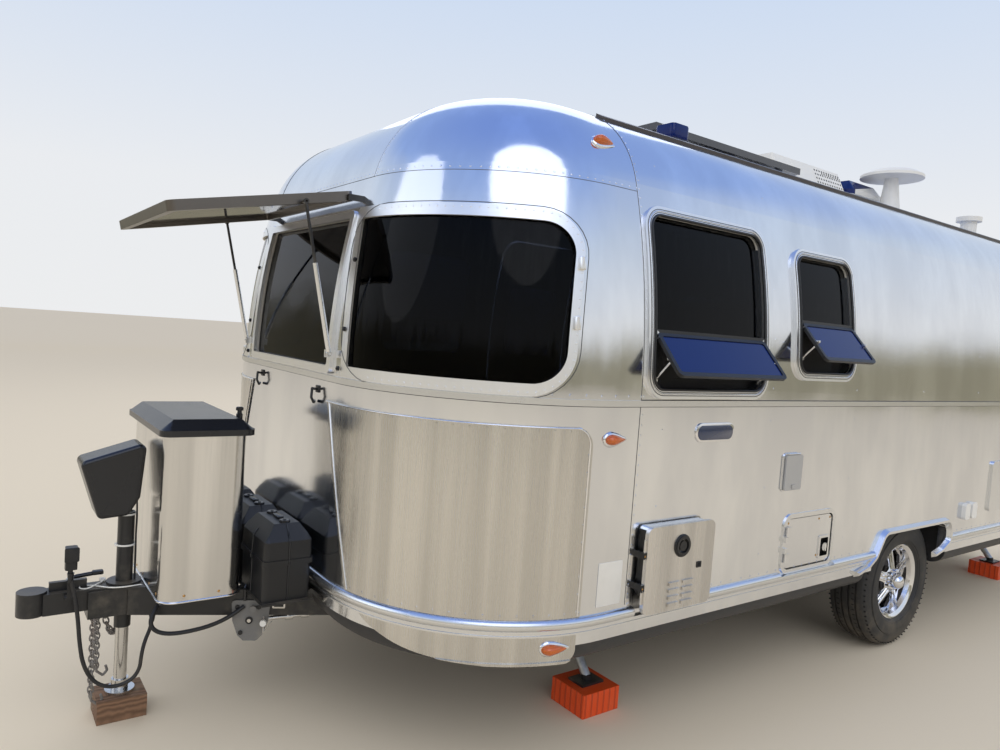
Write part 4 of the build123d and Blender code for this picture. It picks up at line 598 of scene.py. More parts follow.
def box_corners(shape, spans):
    """Make a plain box that spans x, y and z."""
    size = Matrix.Diagonal([high - low for low, high in spans]).to_4x4()
    middle = Matrix.Translation([(low + high) / 2 for low, high in spans])
    return bmesh.ops.create_cube(shape, size=1.0, matrix=middle @ size)["verts"]


def bevelled(shape, edges, width, segments):
    """Bevel some edges of a part of a shape, and find all the part's corners again."""
    cut = bmesh.ops.bevel(shape, geom=edges, offset=width, offset_type="OFFSET", affect="EDGES",
                          segments=segments, profile=0.5, material=-1)
    return whole(cut["verts"][0])


def standing(place, away):
    """Pose at a place, with its z along a direction."""
    return Matrix.Translation(place) @ away.to_track_quat("Z", "Y").to_matrix().to_4x4()


def block(shape, x, y, z, soft=0.0, finish=0, turn=None):
    """A box that spans x, y and z, with softened edges, turned by a matrix where one is given."""
    made = box_corners(shape, (x, y, z))
    if soft:
        made = bevelled(shape, edges_of(made), soft, 2)
    give_finish(made, finish)
    if turn is not None:
        bmesh.ops.transform(shape, matrix=turn, verts=made)


def rod(shape, start, end, radius, sides=16, finish=0, end_radius=None):
    """A round bar, or a cone where it ends in another radius, between two points."""
    start, end = Vector(start), Vector(end)
    made = bmesh.ops.create_cone(shape, cap_ends=True, cap_tris=False, segments=sides, radius1=radius,
                                 radius2=radius if end_radius is None else end_radius,
                                 depth=(end - start).length,
                                 matrix=standing((start + end) / 2, end - start))["verts"]
    give_finish(made, finish)


def turned(shape, centre, axis, profile, steps=48, finish=0):
    """Spin a profile of (distance along the axis, radius) fully round an axis through a centre."""
    centre, axis = Vector(centre), Vector(axis).normalized()
    across = axis.orthogonal().normalized()
    corners = [shape.verts.new(centre + axis * along + across * radius) for along, radius in profile]
    edges = [shape.edges.new(pair) for pair in zip(corners, corners[1:])]
    before = len(shape.faces)
    bmesh.ops.spin(shape, geom=corners + edges, cent=centre, axis=axis, angle=math.tau, steps=steps,
                   use_merge=True)
    shape.faces.ensure_lookup_table()
    for face in shape.faces[before:]:
        face.material_index = finish


def wire(name, runs, radius, finish, body="trailer", closed=False, rounds=2):
    """Thin round wires, beads or cables along the given runs of points."""
    line = bpy.data.curves.new(name, "CURVE")
    line.dimensions = "3D"
    line.bevel_depth = radius
    line.bevel_resolution = rounds
    line.use_fill_caps = True
    for run in runs:
        if len(run) < 2:
            continue
        spline = line.splines.new("POLY")
        spline.points.add(len(run) - 1)
        for point, place in zip(spline.points, run):
            point.co = (*place, 1)
        spline.use_cyclic_u = closed
        spline.use_smooth = True
    return keep(name, line, [finish], body)


def cord_curve(name, route, radius, rounds=4):
    """A smooth round cord along the given points of its route."""
    line = bpy.data.curves.new(name, "CURVE")
    line.dimensions = "3D"
    line.bevel_depth = radius
    line.bevel_resolution = rounds
    line.resolution_u = 16
    run = line.splines.new("NURBS")
    run.points.add(len(route) - 1)
    for point, place in zip(run.points, route):
        point.co = (*place, 1)
    run.order_u = 3
    run.use_endpoint_u = True
    return line


# The towing cable: the route that its solid follows
CABLE_ROUTE = (
    (-2.905, -0.075, 0.400), (-2.905, -0.075, 0.352), (-2.930, -0.088, 0.300), (-2.942, -0.098, 0.250),
    (-2.946, -0.103, 0.200), (-2.975, -0.103, 0.160), (-3.040, -0.102, 0.148), (-3.098, -0.100, 0.180),
    (-3.134, -0.099, 0.250), (-3.148, -0.098, 0.335), (-3.156, -0.097, 0.430), (-3.168, -0.095, 0.510),
    (-3.183, -0.092, 0.575), (-3.183, -0.092, 0.610),
)
cable_line = cord_curve("cable_line", CABLE_ROUTE, 0.007)
cable = keep("cable_line", cable_line, [BLACK_RUBBER], "trailer")
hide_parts("tow_cable")


# The black hose that loops under the left tongue rail
HOSE_ROUTE = (
    (-2.890, -0.122, 0.452), (-2.908, -0.142, 0.438), (-2.926, -0.154, 0.408), (-2.925, -0.160, 0.376),
    (-2.896, -0.166, 0.352), (-2.850, -0.180, 0.346), (-2.790, -0.204, 0.356), (-2.732, -0.229, 0.374),
    (-2.684, -0.248, 0.398), (-2.646, -0.256, 0.422), (-2.616, -0.250, 0.438),
)
hose_line = cord_curve("hose_line", HOSE_ROUTE, 0.008)
hose = keep("hose_line", hose_line, [BLACK_RUBBER], "trailer")


# The loose lamp wire that lies looped on the coupler, and its connector
WIRE_ROUTE = (
    (-2.940, -0.060, 0.5000), (-2.942, -0.062, 0.5115), (-2.970, -0.067, 0.5110), (-3.020, -0.067, 0.5110),
    (-3.055, -0.052, 0.5110), (-3.085, -0.022, 0.5110), (-3.115, 0.004, 0.5110), (-3.142, 0.000, 0.5110),
    (-3.146, -0.024, 0.5110), (-3.124, -0.038, 0.5110), (-3.098, -0.026, 0.5165), (-3.080, -0.002, 0.5165),
    (-3.066, 0.018, 0.5110), (-3.062, 0.030, 0.5120),
)
lamp_wire_line = cord_curve("lamp_wire_line", WIRE_ROUTE, 0.0025, rounds=3)
lamp_wire = keep("lamp_wire_line", lamp_wire_line, [WHITE_PLASTIC], "trailer")
plug_shape = bmesh.new()
block(plug_shape, (-3.072, -3.052), (0.028, 0.052), (0.5083, 0.5183), 0.0015)
block(plug_shape, (-3.068, -3.056), (0.050, 0.0585), (0.5095, 0.5170), 0.001)
lamp_plug = finish_shape("lamp_wire_connector", plug_shape, [WHITE_PLASTIC])


# Places on the body's skin, found by rays from outside
GAP = 0.08
RAY_STEP = 0.006


def surface_of(names):
    """Search tree of the outsides of several nodes."""
    corners, faces = [], []
    for name in names.split():
        mesh = nodes[name].data
        first = len(corners)
        corners.extend(corner.co.copy() for corner in mesh.vertices)
        faces.extend([first + index for index in face.vertices] for face in mesh.polygons)
    return BVHTree.FromPolygons(corners, faces)


SKINS = "front_end rear_end end_domes wall_left wall_right roof entry_door storage_hatch"
skin_surface = surface_of(SKINS)
moving_surfaces = {name: surface_of(name) for name in ("entry_door", "storage_hatch")}
guard_surface = surface_of("stone_guards")
frame_surface = surface_of("window_frames")


def meet(surface, start, ahead):
    """Where a ray meets a surface, and the surface's outward direction there."""
    place, away, _, _ = surface.ray_cast(Vector(start), Vector(ahead))
    if place is None:
        return None
    return place, (away if away.dot(Vector(ahead)) < 0 else -away)


def carrier(place):
    """The body that the sheet at a place rides on."""
    for body, surface in moving_surfaces.items():
        if surface.find_nearest(place, 0.001)[0] is not None:
            return body
    return "trailer"


def spaced(rays, spacing, surface):
    """Equally spaced places on a surface along a path of rays."""
    places, last, travelled = [], None, 0.0
    for start, ahead in rays:
        found = meet(surface, start, ahead)
        if found is None or (last is not None and (found[0] - last).length > GAP):
            last = None if found is None else found[0]
            travelled = 0.0
            continue
        if last is not None:
            travelled += (found[0] - last).length
        if last is None or travelled >= spacing:
            places.append(found)
            travelled = 0.0
        last = found[0]
    return places


def line_on(rays, surface, lift=0.0):
    """Runs of points on a surface along a path of rays, broken where the surface jumps."""
    runs, run = [], []
    for start, ahead in rays:
        found = meet(surface, start, ahead)
        place = None if found is None else found[0] + found[1] * lift
        if place is None or (run and (place - run[-1]).length > GAP):
            runs.append(run)
            run = []
        if place is not None:
            run.append(place)
    runs.append(run)
    return [run for run in runs if len(run) > 2]


def steps(low, high, step):
    """Numbers from low to high at about a step."""
    count = max(2, round(abs(high - low) / step) + 1)
    return [low + (high - low) * index / (count - 1) for index in range(count)]


def side_ray(side, x, z):
    """A level ray onto one side, from well outside it."""
    return (x, side * 2, z), (0, -side, 0)


def along_side(side, z, x_low, x_high, step=RAY_STEP):
    """Rays onto one side along a level line."""
    return [side_ray(side, x, z) for x in steps(x_low, x_high, step)]


def up_side(side, x, z_low, z_high, step=RAY_STEP):
    """Rays onto one side up an upright line."""
    return [side_ray(side, x, z) for z in steps(z_low, z_high, step)]


def girth(x, z_low=0.61):
    """Rays round the body's section at x, from the road side over the roof to the kerb side."""
    rays = up_side(LEFT, x, z_low, MIDDLE_Z)
    for angle in steps(math.pi, 0.0, RAY_STEP / 1.3):
        out = Vector((0, math.cos(angle), math.sin(angle)))
        rays.append((Vector((x, 0, MIDDLE_Z)) + out * 2.4, -out))
    return rays + up_side(RIGHT, x, z_low, MIDDLE_Z)[::-1]


def round_end(end, z):
    """Level rays round the front or rear end, from seam to seam."""
    centre = Vector((FRONT_SEAM_X if end == FRONT else REAR_SEAM_X, 0, z))
    rays = []
    for angle in steps(-math.pi / 2, math.pi / 2, RAY_STEP / 1.3):
        out = Vector((end * math.cos(angle), math.sin(angle), 0))
        rays.append((centre + out * 3, -out))
    return rays


def over_dome(end, y):
    """Rays over an end's dome at a distance from the middle, from its level seam up to the side seam."""
    centre = Vector((FRONT_SEAM_X if end == FRONT else REAR_SEAM_X, y, DOME_SEAM_Z))
    rays = []
    for angle in steps(0.0, math.pi / 2, RAY_STEP):
        out = Vector((end * math.cos(angle), 0, math.sin(angle)))
        rays.append((centre + out * 2.5, -out))
    return rays


# Rivets: low domed heads of a few faces, made in batches because a large shape is slow to add to
RIVET_RADIUS, RIVET_HEIGHT = 0.0042, 0.0016
RIVET_PITCH = 0.031
SILL_RIVETS_Z, SILL_PITCH = 0.613, 0.06
HEADS_IN_BATCH = 50


def rivet(shape, place, away, radius=RIVET_RADIUS, height=RIVET_HEIGHT, finish=0):
    """One head, square to the surface."""
    pose = standing(place, away) @ Matrix.Diagonal((radius, radius, height, 1))
    made = bmesh.ops.create_uvsphere(shape, u_segments=7, v_segments=4, radius=1.0, matrix=pose)["verts"]
    give_finish(made, finish)


def rivet_heads(places, radius=RIVET_RADIUS, height=RIVET_HEIGHT):
    """A shape of many equal heads at places on a surface, each with its direction out."""
    heads = bmesh.new()
    for first in range(0, len(places), HEADS_IN_BATCH):
        few = bmesh.new()
        for place, away in places[first:first + HEADS_IN_BATCH]:
            rivet(few, place, away, radius, height)
        batch = bpy.data.meshes.new("few_heads")
        few.to_mesh(batch)
        few.free()
        heads.from_mesh(batch)
        bpy.data.meshes.remove(batch)
    return heads


def rivet_body():
    """Rows of rivets along the seams, and scattered columns of them on the walls."""
    places, rows = [], []
    for seam_x, aside in ((FRONT_SEAM_X, 0.013), (REAR_SEAM_X, -0.013)):
        rows.append((girth(seam_x + aside), RIVET_PITCH))
    for end, low_z in ((FRONT, BELT_Z + 0.022), (REAR, SILL_RIVETS_Z)):
        rows.append((round_end(end, DOME_SEAM_Z + 0.013), RIVET_PITCH))
        rows.append((round_end(end, low_z), SILL_PITCH))
        for y in DOME_SEAM_YS:
            rows.append((over_dome(end, y + math.copysign(0.012, y)), RIVET_PITCH))
    for side in (LEFT, RIGHT):
        rows.append((along_side(side, SILL_RIVETS_Z, FRONT_SEAM_X + 0.02, REAR_SEAM_X), SILL_PITCH))
        for column in range(7):
            x = -1.446 + 0.66 * column
            rows.append((up_side(side, x, 1.40, 2.30), 0.2))
            rows.append((up_side(side, x, 0.70, 1.30), 0.28))
    for rays, spacing in rows:
        places += spaced(rays, spacing, skin_surface)
    for name, body in (("body", "trailer"), ("door", "entry_door"), ("hatch", "storage_hatch")):
        own = [spot for spot in places if carrier(spot[0]) == body]
        finish_shape("rivets_" + name, rivet_heads(own), [SKIN], body)


def guard_slant(side, half_top, z_low, rise, step):
    """Rays onto the front along a stone guard's slanted inner edge, from its foot up."""
    rays = []
    for share in steps(0.0, 1.0, step):
        rays.append(((-4, side * (half_top - 0.205 * share), z_low + rise * share), (1, 0, 0)))
    return rays


def rivet_guards():
    """Rivets along the edges of the stone guards."""
    places, rows = [], [round_end(FRONT, 1.24), round_end(FRONT, 0.615)]
    for side in (LEFT, RIGHT):
        rows.append(up_side(side, -1.797, 0.62, 1.19))
        rows.append(guard_slant(side, 0.652, 0.61, 0.63, 0.01))
    for rays in rows:
        places += spaced(rays, 0.055, guard_surface)
    finish_shape("rivets_guards", rivet_heads(places), [GUARD_SHEET])


def seam_lines():
    """Dark lap lines where one sheet ends on the next, and bright edges of the sheets on top."""
    laps, edges = [], []
    for seam_x, aside in ((FRONT_SEAM_X, 0.0025), (REAR_SEAM_X, -0.0025)):
        laps += line_on(girth(seam_x), skin_surface)
        edges += line_on(girth(seam_x + aside), skin_surface)
    for end in (FRONT, REAR):
        laps += line_on(round_end(end, DOME_SEAM_Z), skin_surface)
        for y in DOME_SEAM_YS:
            laps += line_on(over_dome(end, y), skin_surface)
            edges += line_on(over_dome(end, y + math.copysign(0.0025, y)), skin_surface)
    wire("lap_lines", laps, 0.0013, SEALANT_AND_SHADE, rounds=0)
    wire("lap_edges", edges, 0.0012, FRAME_METAL, rounds=0)


def loop_round(x_low, x_high, z_low, z_high, radius, margin, step=0.02):
    """Points in x and z of a rounded rectangle, in by a margin."""
    radius = max(radius - margin, 0.004)
    left, right = x_low + margin + radius, x_high - margin - radius
    foot, head = z_low + margin + radius, z_high - margin - radius
    points = []
    for x, z, start in ((right, head, 0), (left, head, 90), (left, foot, 180), (right, foot, 270)):
        for angle in steps(start, start + 90, 12):
            turn = math.radians(angle)
            points.append((x + radius * math.cos(turn), z + radius * math.sin(turn)))
    dense = []
    for (x0, z0), (x1, z1) in zip(points, points[1:] + points[:1]):
        count = max(1, round(math.hypot(x1 - x0, z1 - z0) / step))
        dense += [(x0 + (x1 - x0) * k / count, z0 + (z1 - z0) * k / count) for k in range(count)]
    return dense


# Side windows: side, x from, x to, z from, z to, height of the lower pane's hinge
SIDE_WINDOWS = (
    (LEFT, -1.560, -0.845, 1.355, 2.050, 1.585), (LEFT, -0.654, -0.170, 1.438, 2.005, 1.677),
    (RIGHT, -1.420, -0.760, 1.355, 2.050, 1.585), (RIGHT, 1.300, 1.784, 1.438, 2.005, 1.677),
)


def window_lines():
    """Painted shade lines for the grooves in the side windows' frames, beads in the frames, and the black
    gaskets inside them.
    """
    grooves, gaskets, beads = [], [], []
    for side, x_low, x_high, z_low, z_high, _ in SIDE_WINDOWS:
        for margin, group in ((0.012, grooves), (0.024, grooves), (0.018, beads), (0.0335, gaskets)):
            loop = loop_round(x_low, x_high, z_low, z_high, 0.088, margin)
            found = [meet(frame_surface, *side_ray(side, x, z)) for x, z in loop]
            run = [hit[0] for hit in found if hit is not None and abs(hit[0].y) < 1.26]
            if run:
                group.append(run)
    # The grooves are dark wires on the frame: painted shade, not cut into it
    wire("window_groove_shades", grooves, 0.0016, SEALANT_AND_SHADE, closed=True, rounds=1)
    wire("window_beads", beads, 0.0026, FRAME_METAL, closed=True)
    wire("window_gaskets", gaskets, 0.0055, BLACK_PLASTIC_AND_SHADE, closed=True)


# Half a tyre's section: distance from its middle plane, and radius
TYRE_WALL = (
    (0.078, 0.191), (0.086, 0.1925), (0.0885, 0.200), (0.0935, 0.2035), (0.097, 0.213), (0.1045, 0.2195),
    (0.1055, 0.226), (0.1085, 0.2275), (0.1115, 0.243), (0.1122, 0.262), (0.1112, 0.284), (0.1062, 0.2865),
    (0.1072, 0.300), (0.1020, 0.318), (0.0965, 0.331), (0.0880, 0.343),
)
TYRE_TREAD = (
    (0.0780, 0.3478), (0.0600, 0.3512), (0.0590, 0.3440), (0.0500, 0.3440), (0.0490, 0.3526),
    (0.0240, 0.3545), (0.0230, 0.3460), (0.0130, 0.3460), (0.0120, 0.3549), (0.0, 0.3550),
)
# Rows of cuts across the tread: across from, across to, radius
TREAD_ROWS = (
    (0.080, 0.100, 0.338), (0.026, 0.047, 0.3525), (-0.010, 0.010, 0.3525), (-0.047, -0.026, 0.3525),
    (-0.100, -0.080, 0.338),
)
TREAD_CUTS = 72
RIM_LIP = (
    (0.0815, 0.181), (0.084, 0.186), (0.0905, 0.1935), (0.0935, 0.201), (0.0925, 0.2055), (0.088, 0.2065),
    (0.084, 0.2045), (0.0815, 0.198), (0.0815, 0.181),
)
DRUM_SECTION = ((0.012, 0.001), (0.012, 0.150), (-0.002, 0.158), (-0.045, 0.158), (-0.045, 0.02))
HUB_CAP = ((0.080, 0.041), (0.092, 0.0405), (0.110, 0.036), (0.122, 0.026), (0.127, 0.012), (0.128, 0.0005))


def spoke_place(hub, radius, turn):
    """A place in a wheel's middle plane, at a radius and a turn about its hub."""
    return hub + Vector((radius * math.cos(turn), 0, radius * math.sin(turn)))


def tyre_and_wheel(side):
    """Tyre with its tread, and the rim's lip, nuts, cap, spokes, drum and valve, on one side."""
    name = "left" if side == LEFT else "right"
    out = Vector((0, side, 0))
    hub = Vector((AXLE_X, side * WHEEL_Y, WHEEL_Z))
    shape = bmesh.new()
    half = TYRE_WALL + TYRE_TREAD
    profile = half + tuple((-along, radius) for along, radius in reversed(half[:-1]))
    turned(shape, hub, out, profile + profile[:1], steps=120)
    for cut in range(TREAD_CUTS):
        turn = math.tau * cut / TREAD_CUTS
        for low, high, radius in TREAD_ROWS:
            spin = Matrix.Translation(hub) @ Matrix.Rotation(turn + (0.02 if low < 0 else 0), 4, "Y")
            across = sorted((side * low, side * high))
            # The cuts are near-black blocks: painted shade in the tread's grooves
            block(shape, (-0.0028, 0.0028), across, (radius - 0.003, radius + 0.0012), finish=1, turn=spin)
    tyre = finish_shape("tyre_tread_" + name, shape, [TYRE_RUBBER, HOLLOW_SHADE],
                        "wheel_" + name, 30)
    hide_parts("tyre_" + name)

    shape = bmesh.new()
    turned(shape, hub, out, RIM_LIP, steps=96)
    turned(shape, hub, out, DRUM_SECTION, steps=64, finish=1)
    turned(shape, hub, out, HUB_CAP, steps=40)
    for nut in range(6):
        spot = spoke_place(hub, 0.057, math.tau * nut / 6 + 0.3)
        rod(shape, spot + out * 0.060, spot + out * 0.083, 0.0105, 6)
        rod(shape, spot + out * 0.083, spot + out * 0.088, 0.0095, 12, end_radius=0.004)
    for spoke in range(5):
        turn = math.tau * spoke / 5 + math.radians(90)
        for aside in (-0.085, 0.085):
            near = spoke_place(hub, 0.062, turn + aside * 2.2)
            far = spoke_place(hub, 0.174, turn + aside)
            rod(shape, near + out * 0.062, far + out * 0.037, 0.0085, 10, end_radius=0.0065)
    valve = spoke_place(hub, 0.165, 2.2)
    rod(shape, valve + out * 0.03, valve + out * 0.075, 0.004, 10, finish=2)
    finish_shape("wheel_trim_" + name, shape, [CHROME, DRUM, BLACK_PLASTIC_AND_SHADE], "wheel_" + name)


# A front corner window's riveted edge: across from, across to, z from, z to, and its corners' radius
CORNER_WINDOW = (-0.484, 0.356, 1.362, 1.962, 0.142)


def corner_ray(side, across, z):
    """A level ray onto a front corner, square to its diagonal and aside of it by a distance."""
    axis = Vector((FRONT_AXIS_X, side * CORNER_Y, z))
    outward = Vector((-1, side, 0)).normalized()
    return axis + Vector((1, side, 0)).normalized() * across + outward * 2, -outward


def corner_window_trim():
    """Rivets, hinge brackets and sealed edges of the corner windows in front."""
    shape, edges = bmesh.new(), []
    outside = surface_of("window_frames " + SKINS)
    for side in (LEFT, RIGHT):
        loop = loop_round(*CORNER_WINDOW, 0.0, step=0.01)
        loop = [(across, z) for across, z in loop + loop[:1] if across >= CORNER_WINDOW[0] + 0.1]
        rays = [corner_ray(side, across, z) for across, z in loop]
        for place, away in spaced(rays, 0.027, frame_surface):
            rivet(shape, place, away, 0.0040, 0.0018)
        for z in (1.60, 1.80):
            found = meet(frame_surface, *corner_ray(side, 0.352, z))
            if found is None:
                continue
            place, away = found
            block(shape, (-0.012, 0.012), (-0.022, 0.022), (0.0, 0.012), 0.003, turn=standing(place, away))
            pin = place + away * 0.010
            rod(shape, pin - Vector((0, 0, 0.02)), pin + Vector((0, 0, 0.02)), 0.005)
        loop = loop_round(*CORNER_WINDOW, -0.0168, step=0.01)
        edges += line_on([corner_ray(side, across, z) for across, z in loop + loop[:1]], outside, 0.0005)
    finish_shape("corner_window_rivets", shape, [WINDOW_RIM])
    wire("corner_window_edges", edges, 0.0014, SEALANT_AND_SHADE, rounds=0)


def belt_shadows():
    """Painted shadow lines: dark lines above and below the belt moulding, with the door's own stretch riding
    on the door.
    """
    low_z = BELT_EDGES_Z[0]
    lines = line_on(round_end(FRONT, low_z), skin_surface) + line_on(round_end(REAR, low_z), skin_surface)
    door_xs = [corner.co.x for corner in nodes["entry_door"].data.vertices]
    door_low, door_high = min(door_xs) + 0.004, max(door_xs) - 0.004
    clear, step = 0.012, 0.02
    door_lines = []
    for z in BELT_EDGES_Z:
        lines += line_on(along_side(LEFT, z, FRONT_SEAM_X, REAR_SEAM_X, step), skin_surface)
        lines += line_on(along_side(RIGHT, z, FRONT_SEAM_X, door_low - clear, step), skin_surface)
        lines += line_on(along_side(RIGHT, z, door_high + clear, REAR_SEAM_X, step), skin_surface)
        on_door = along_side(RIGHT, z, door_low, door_high, step)
        door_lines += line_on(on_door, moving_surfaces["entry_door"])
    wire("belt_shadow_lines", lines, 0.0016, SEALANT_AND_SHADE, rounds=0)
    wire("belt_shadow_door", door_lines, 0.0016, SEALANT_AND_SHADE, body="entry_door", rounds=0)


# Middle of the heater's exhaust
EXHAUST_XZ = (-1.331, 0.811)


def paint(name, finish, chosen):
    """Give the faces of a node that a test picks a finish of their own."""
    mesh = nodes[name].data
    mesh.materials.append(finish)
    for face in mesh.polygons:
        if chosen(face.center, face.normal):
            face.material_index = len(mesh.materials) - 1


def in_pane(place):
    """Whether a place on a window frame belongs to the hinged pane's own rim or hinge bar."""
    if abs(place.y) > 1.2415 and place.z < 1.70:
        return True
    for side, x_low, x_high, *_, hinge in SIDE_WINDOWS:
        within = x_low + 0.04 < place.x < x_high - 0.04 and place.y * side > 0
        if within and abs(place.z - hinge - 0.004) < 0.022 and abs(place.y) > 1.16:
            return True
    return False


def paint_parts():
    """Second finishes within nodes that are made of several materials."""
    paint("mouldings", ROOF_EDGE, lambda place, away: place.z > 1.9)
    paint("mouldings", FRAME_METAL, lambda place, away: place.z < 1.9)
    paint("entry_door", CHROME,
          lambda place, away: place.x > 0.015 and 1.13 < place.z < 1.29 and place.y > 1.228)
    paint("window_frames", BLACK_STEEL, lambda place, away: place.x < -2.3 and place.z > 1.99)
    paint("window_frames", BLACK_PLASTIC_AND_SHADE, lambda place, away: in_pane(place))
    paint("side_glass", PANE_GLASS, lambda place, away: abs(place.y) > 1.214)
    paint("heater_door", BLACK_PLASTIC_AND_SHADE,
          lambda place, away: math.dist((place.x, place.z), EXHAUST_XZ) < 0.0386 and place.y < -1.262)
    # The heater door's reveal in the side fittings is painted black: painted shade in the gap round the door
    paint("side_fittings", BLACK_PLASTIC_AND_SHADE,
          lambda place, away: -1.53 < place.x < -1.15 and place.z < 0.9 and away.z < 0.4)
    paint("side_fittings", WHITE_PLASTIC, lambda place, away: 1.13 < place.x < 1.30 and place.z < 0.8)
    paint("storage_hatch", BLACK_PLASTIC_AND_SHADE,
          lambda place, away: (abs(place.x + 0.292) < 0.0312 and abs(place.z - 0.678) < 0.0422
                               and place.y > -1.2235))
    paint("tongue_fittings", GREY_PLATE, lambda place, away: place.z < 0.47)
    paint("stabilisers", BLACK_STEEL, lambda place, away: place.z < 0.135)
    paint("roof_fittings", PANE_GLASS,
          lambda place, away: (place.z > 2.66 and 1.27 < place.x < 1.73 and place.y > -0.30
                               and math.hypot(place.x - 1.62, place.y + 0.38) > 0.205))


# An edge that turns more than this, in radians, is a rim between a plate's face and its side
RIM_ANGLE = 1.2


def plate(shape, x, y, z, corner, axis=1, soft=0.001, finish=0, turn=None):
    """A flat plate, thin along an axis, with round corners and softened edges."""
    made = box_corners(shape, (x, y, z))
    across = [edge for edge in edges_of(made) if abs((edge.verts[0].co - edge.verts[1].co)[axis]) > 1e-6]
    made = bevelled(shape, across, corner, 7)
    rims = [edge for edge in edges_of(made) if edge.calc_face_angle(0) > RIM_ANGLE]
    made = bevelled(shape, rims, soft, 2)
    give_finish(made, finish)
    if turn is not None:
        bmesh.ops.transform(shape, matrix=turn, verts=made)


def facing_pose(place, away, along):
    """Pose with z out of the surface and x as near as it can be to a direction."""
    up = Vector(away).normalized()
    across = up.cross(Vector(along)).normalized()
    ahead = across.cross(up).normalized()
    turn = Matrix((ahead, across, up)).transposed().to_4x4()
    return Matrix.Translation(place) @ turn


def teardrop(shape, pose, length, width, height):
    """A lens that is round in front and drawn out to a point at the rear, on the pose's plane."""
    made = bmesh.ops.create_uvsphere(shape, u_segments=28, v_segments=16, radius=1.0)["verts"]
    for corner in made:
        along = corner.co.x
        narrow = 1.0 if along < 0 else 1.0 - 0.62 * along ** 1.4
        stretch = 0.62 if along < 0 else 1.38
        corner.co = (along * stretch * length / 2, corner.co.y * narrow * width / 2,
                     max(corner.co.z, -0.1) * narrow * height)
    bmesh.ops.transform(shape, matrix=pose, verts=made)


# Marker lamps: node, x, distance aside, z
LAMP_PLACES = (
    ("amber_lamps", -1.712, 1.053, 2.246), ("amber_lamps", -1.704, 1.222, 1.212),
    ("amber_lamps", -1.892, 1.200, 0.500),
    ("red_lamps", 2.550, 1.053, 2.246), ("red_lamps", 2.560, 1.222, 1.212),
)


def lamp_ray(side, x, y, z):
    """A ray onto the place of a marker lamp: from above at the domes, from ahead at the skirt, else level."""
    place = Vector((x, side * y, z))
    if z > DOME_SEAM_Z:
        ahead = Vector((0, -side * 0.84, -0.55)).normalized()
        return place - ahead * 1.2, ahead
    if z < 0.6:
        start = Vector((x - 0.32, side * 2.3, z))
        return start, (place - start).normalized()
    return Vector((x, side * 2.5, z)), Vector((0, -side, 0))


def marker_lamps():
    """Teardrop marker lamps in polished rims, and the round lamps' rims at the rear."""
    skins = surface_of(SKINS + " stone_guards")
    for node_name, lens in (("amber_lamps", AMBER), ("red_lamps", RED)):
        lenses, rims = bmesh.new(), bmesh.new()
        along = (1, 0, 0) if node_name == "amber_lamps" else (-1, 0, 0)
        for name, x, y, z in LAMP_PLACES:
            if name != node_name:
                continue
            for side in (LEFT, RIGHT):
                found = meet(skins, *lamp_ray(side, x, y, z))
                if found is None:
                    continue
                flat = facing_pose(*found, along)
                teardrop(lenses, flat @ Matrix.Translation((0, 0, 0.006)), 0.094, 0.038, 0.026)
                teardrop(rims, flat, 0.112, 0.056, 0.011)
        if node_name == "red_lamps":
            for side in (LEFT, RIGHT):
                low, high = sorted((side * 0.835, side * 0.685))
                plate(lenses, (3.205, 3.236), (low, high), (0.82, 1.08), 0.04, axis=0, soft=0.006)
                plate(rims, (3.196, 3.222), (low - 0.012, high + 0.012), (0.808, 1.092), 0.05, axis=0,
                      soft=0.004)
        piece = finish_shape(node_name + "_lenses", lenses, [lens])
        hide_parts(node_name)
        finish_shape(node_name + "_rims", rims, [CHROME])


def guard_edges():
    """Bright folded edges round the upper stone guards."""
    lift, rear_x, corner = 0.001, -1.7935, 0.058
    runs = line_on(round_end(FRONT, 1.2505), guard_surface, lift)
    for side in (LEFT, RIGHT):
        rear = up_side(side, rear_x, 0.605, 1.19, 0.01)
        for angle in steps(0.0, math.pi / 2, 0.1):
            x, z = rear_x - corner * (1 - math.cos(angle)), 1.1925 + corner * math.sin(angle)
            rear.append(side_ray(side, x, z))
        runs += line_on(rear, guard_surface, lift)
        runs += line_on(guard_slant(side, 0.660, 0.605, 0.645, 0.02), guard_surface, lift)
    wire("guard_edges", runs, 0.0032, CHROME)


# Turned profiles of the exhaust: distance out, radius
EXHAUST_COLLAR = ((0.0, 0.044), (0.004, 0.043), (0.006, 0.039), (0.004, 0.0355), (0.0, 0.035))
EXHAUST_BAFFLE = ((0.0, 0.020), (0.007, 0.019), (0.007, 0.008), (0.002, 0.007), (0.002, 0.0005))


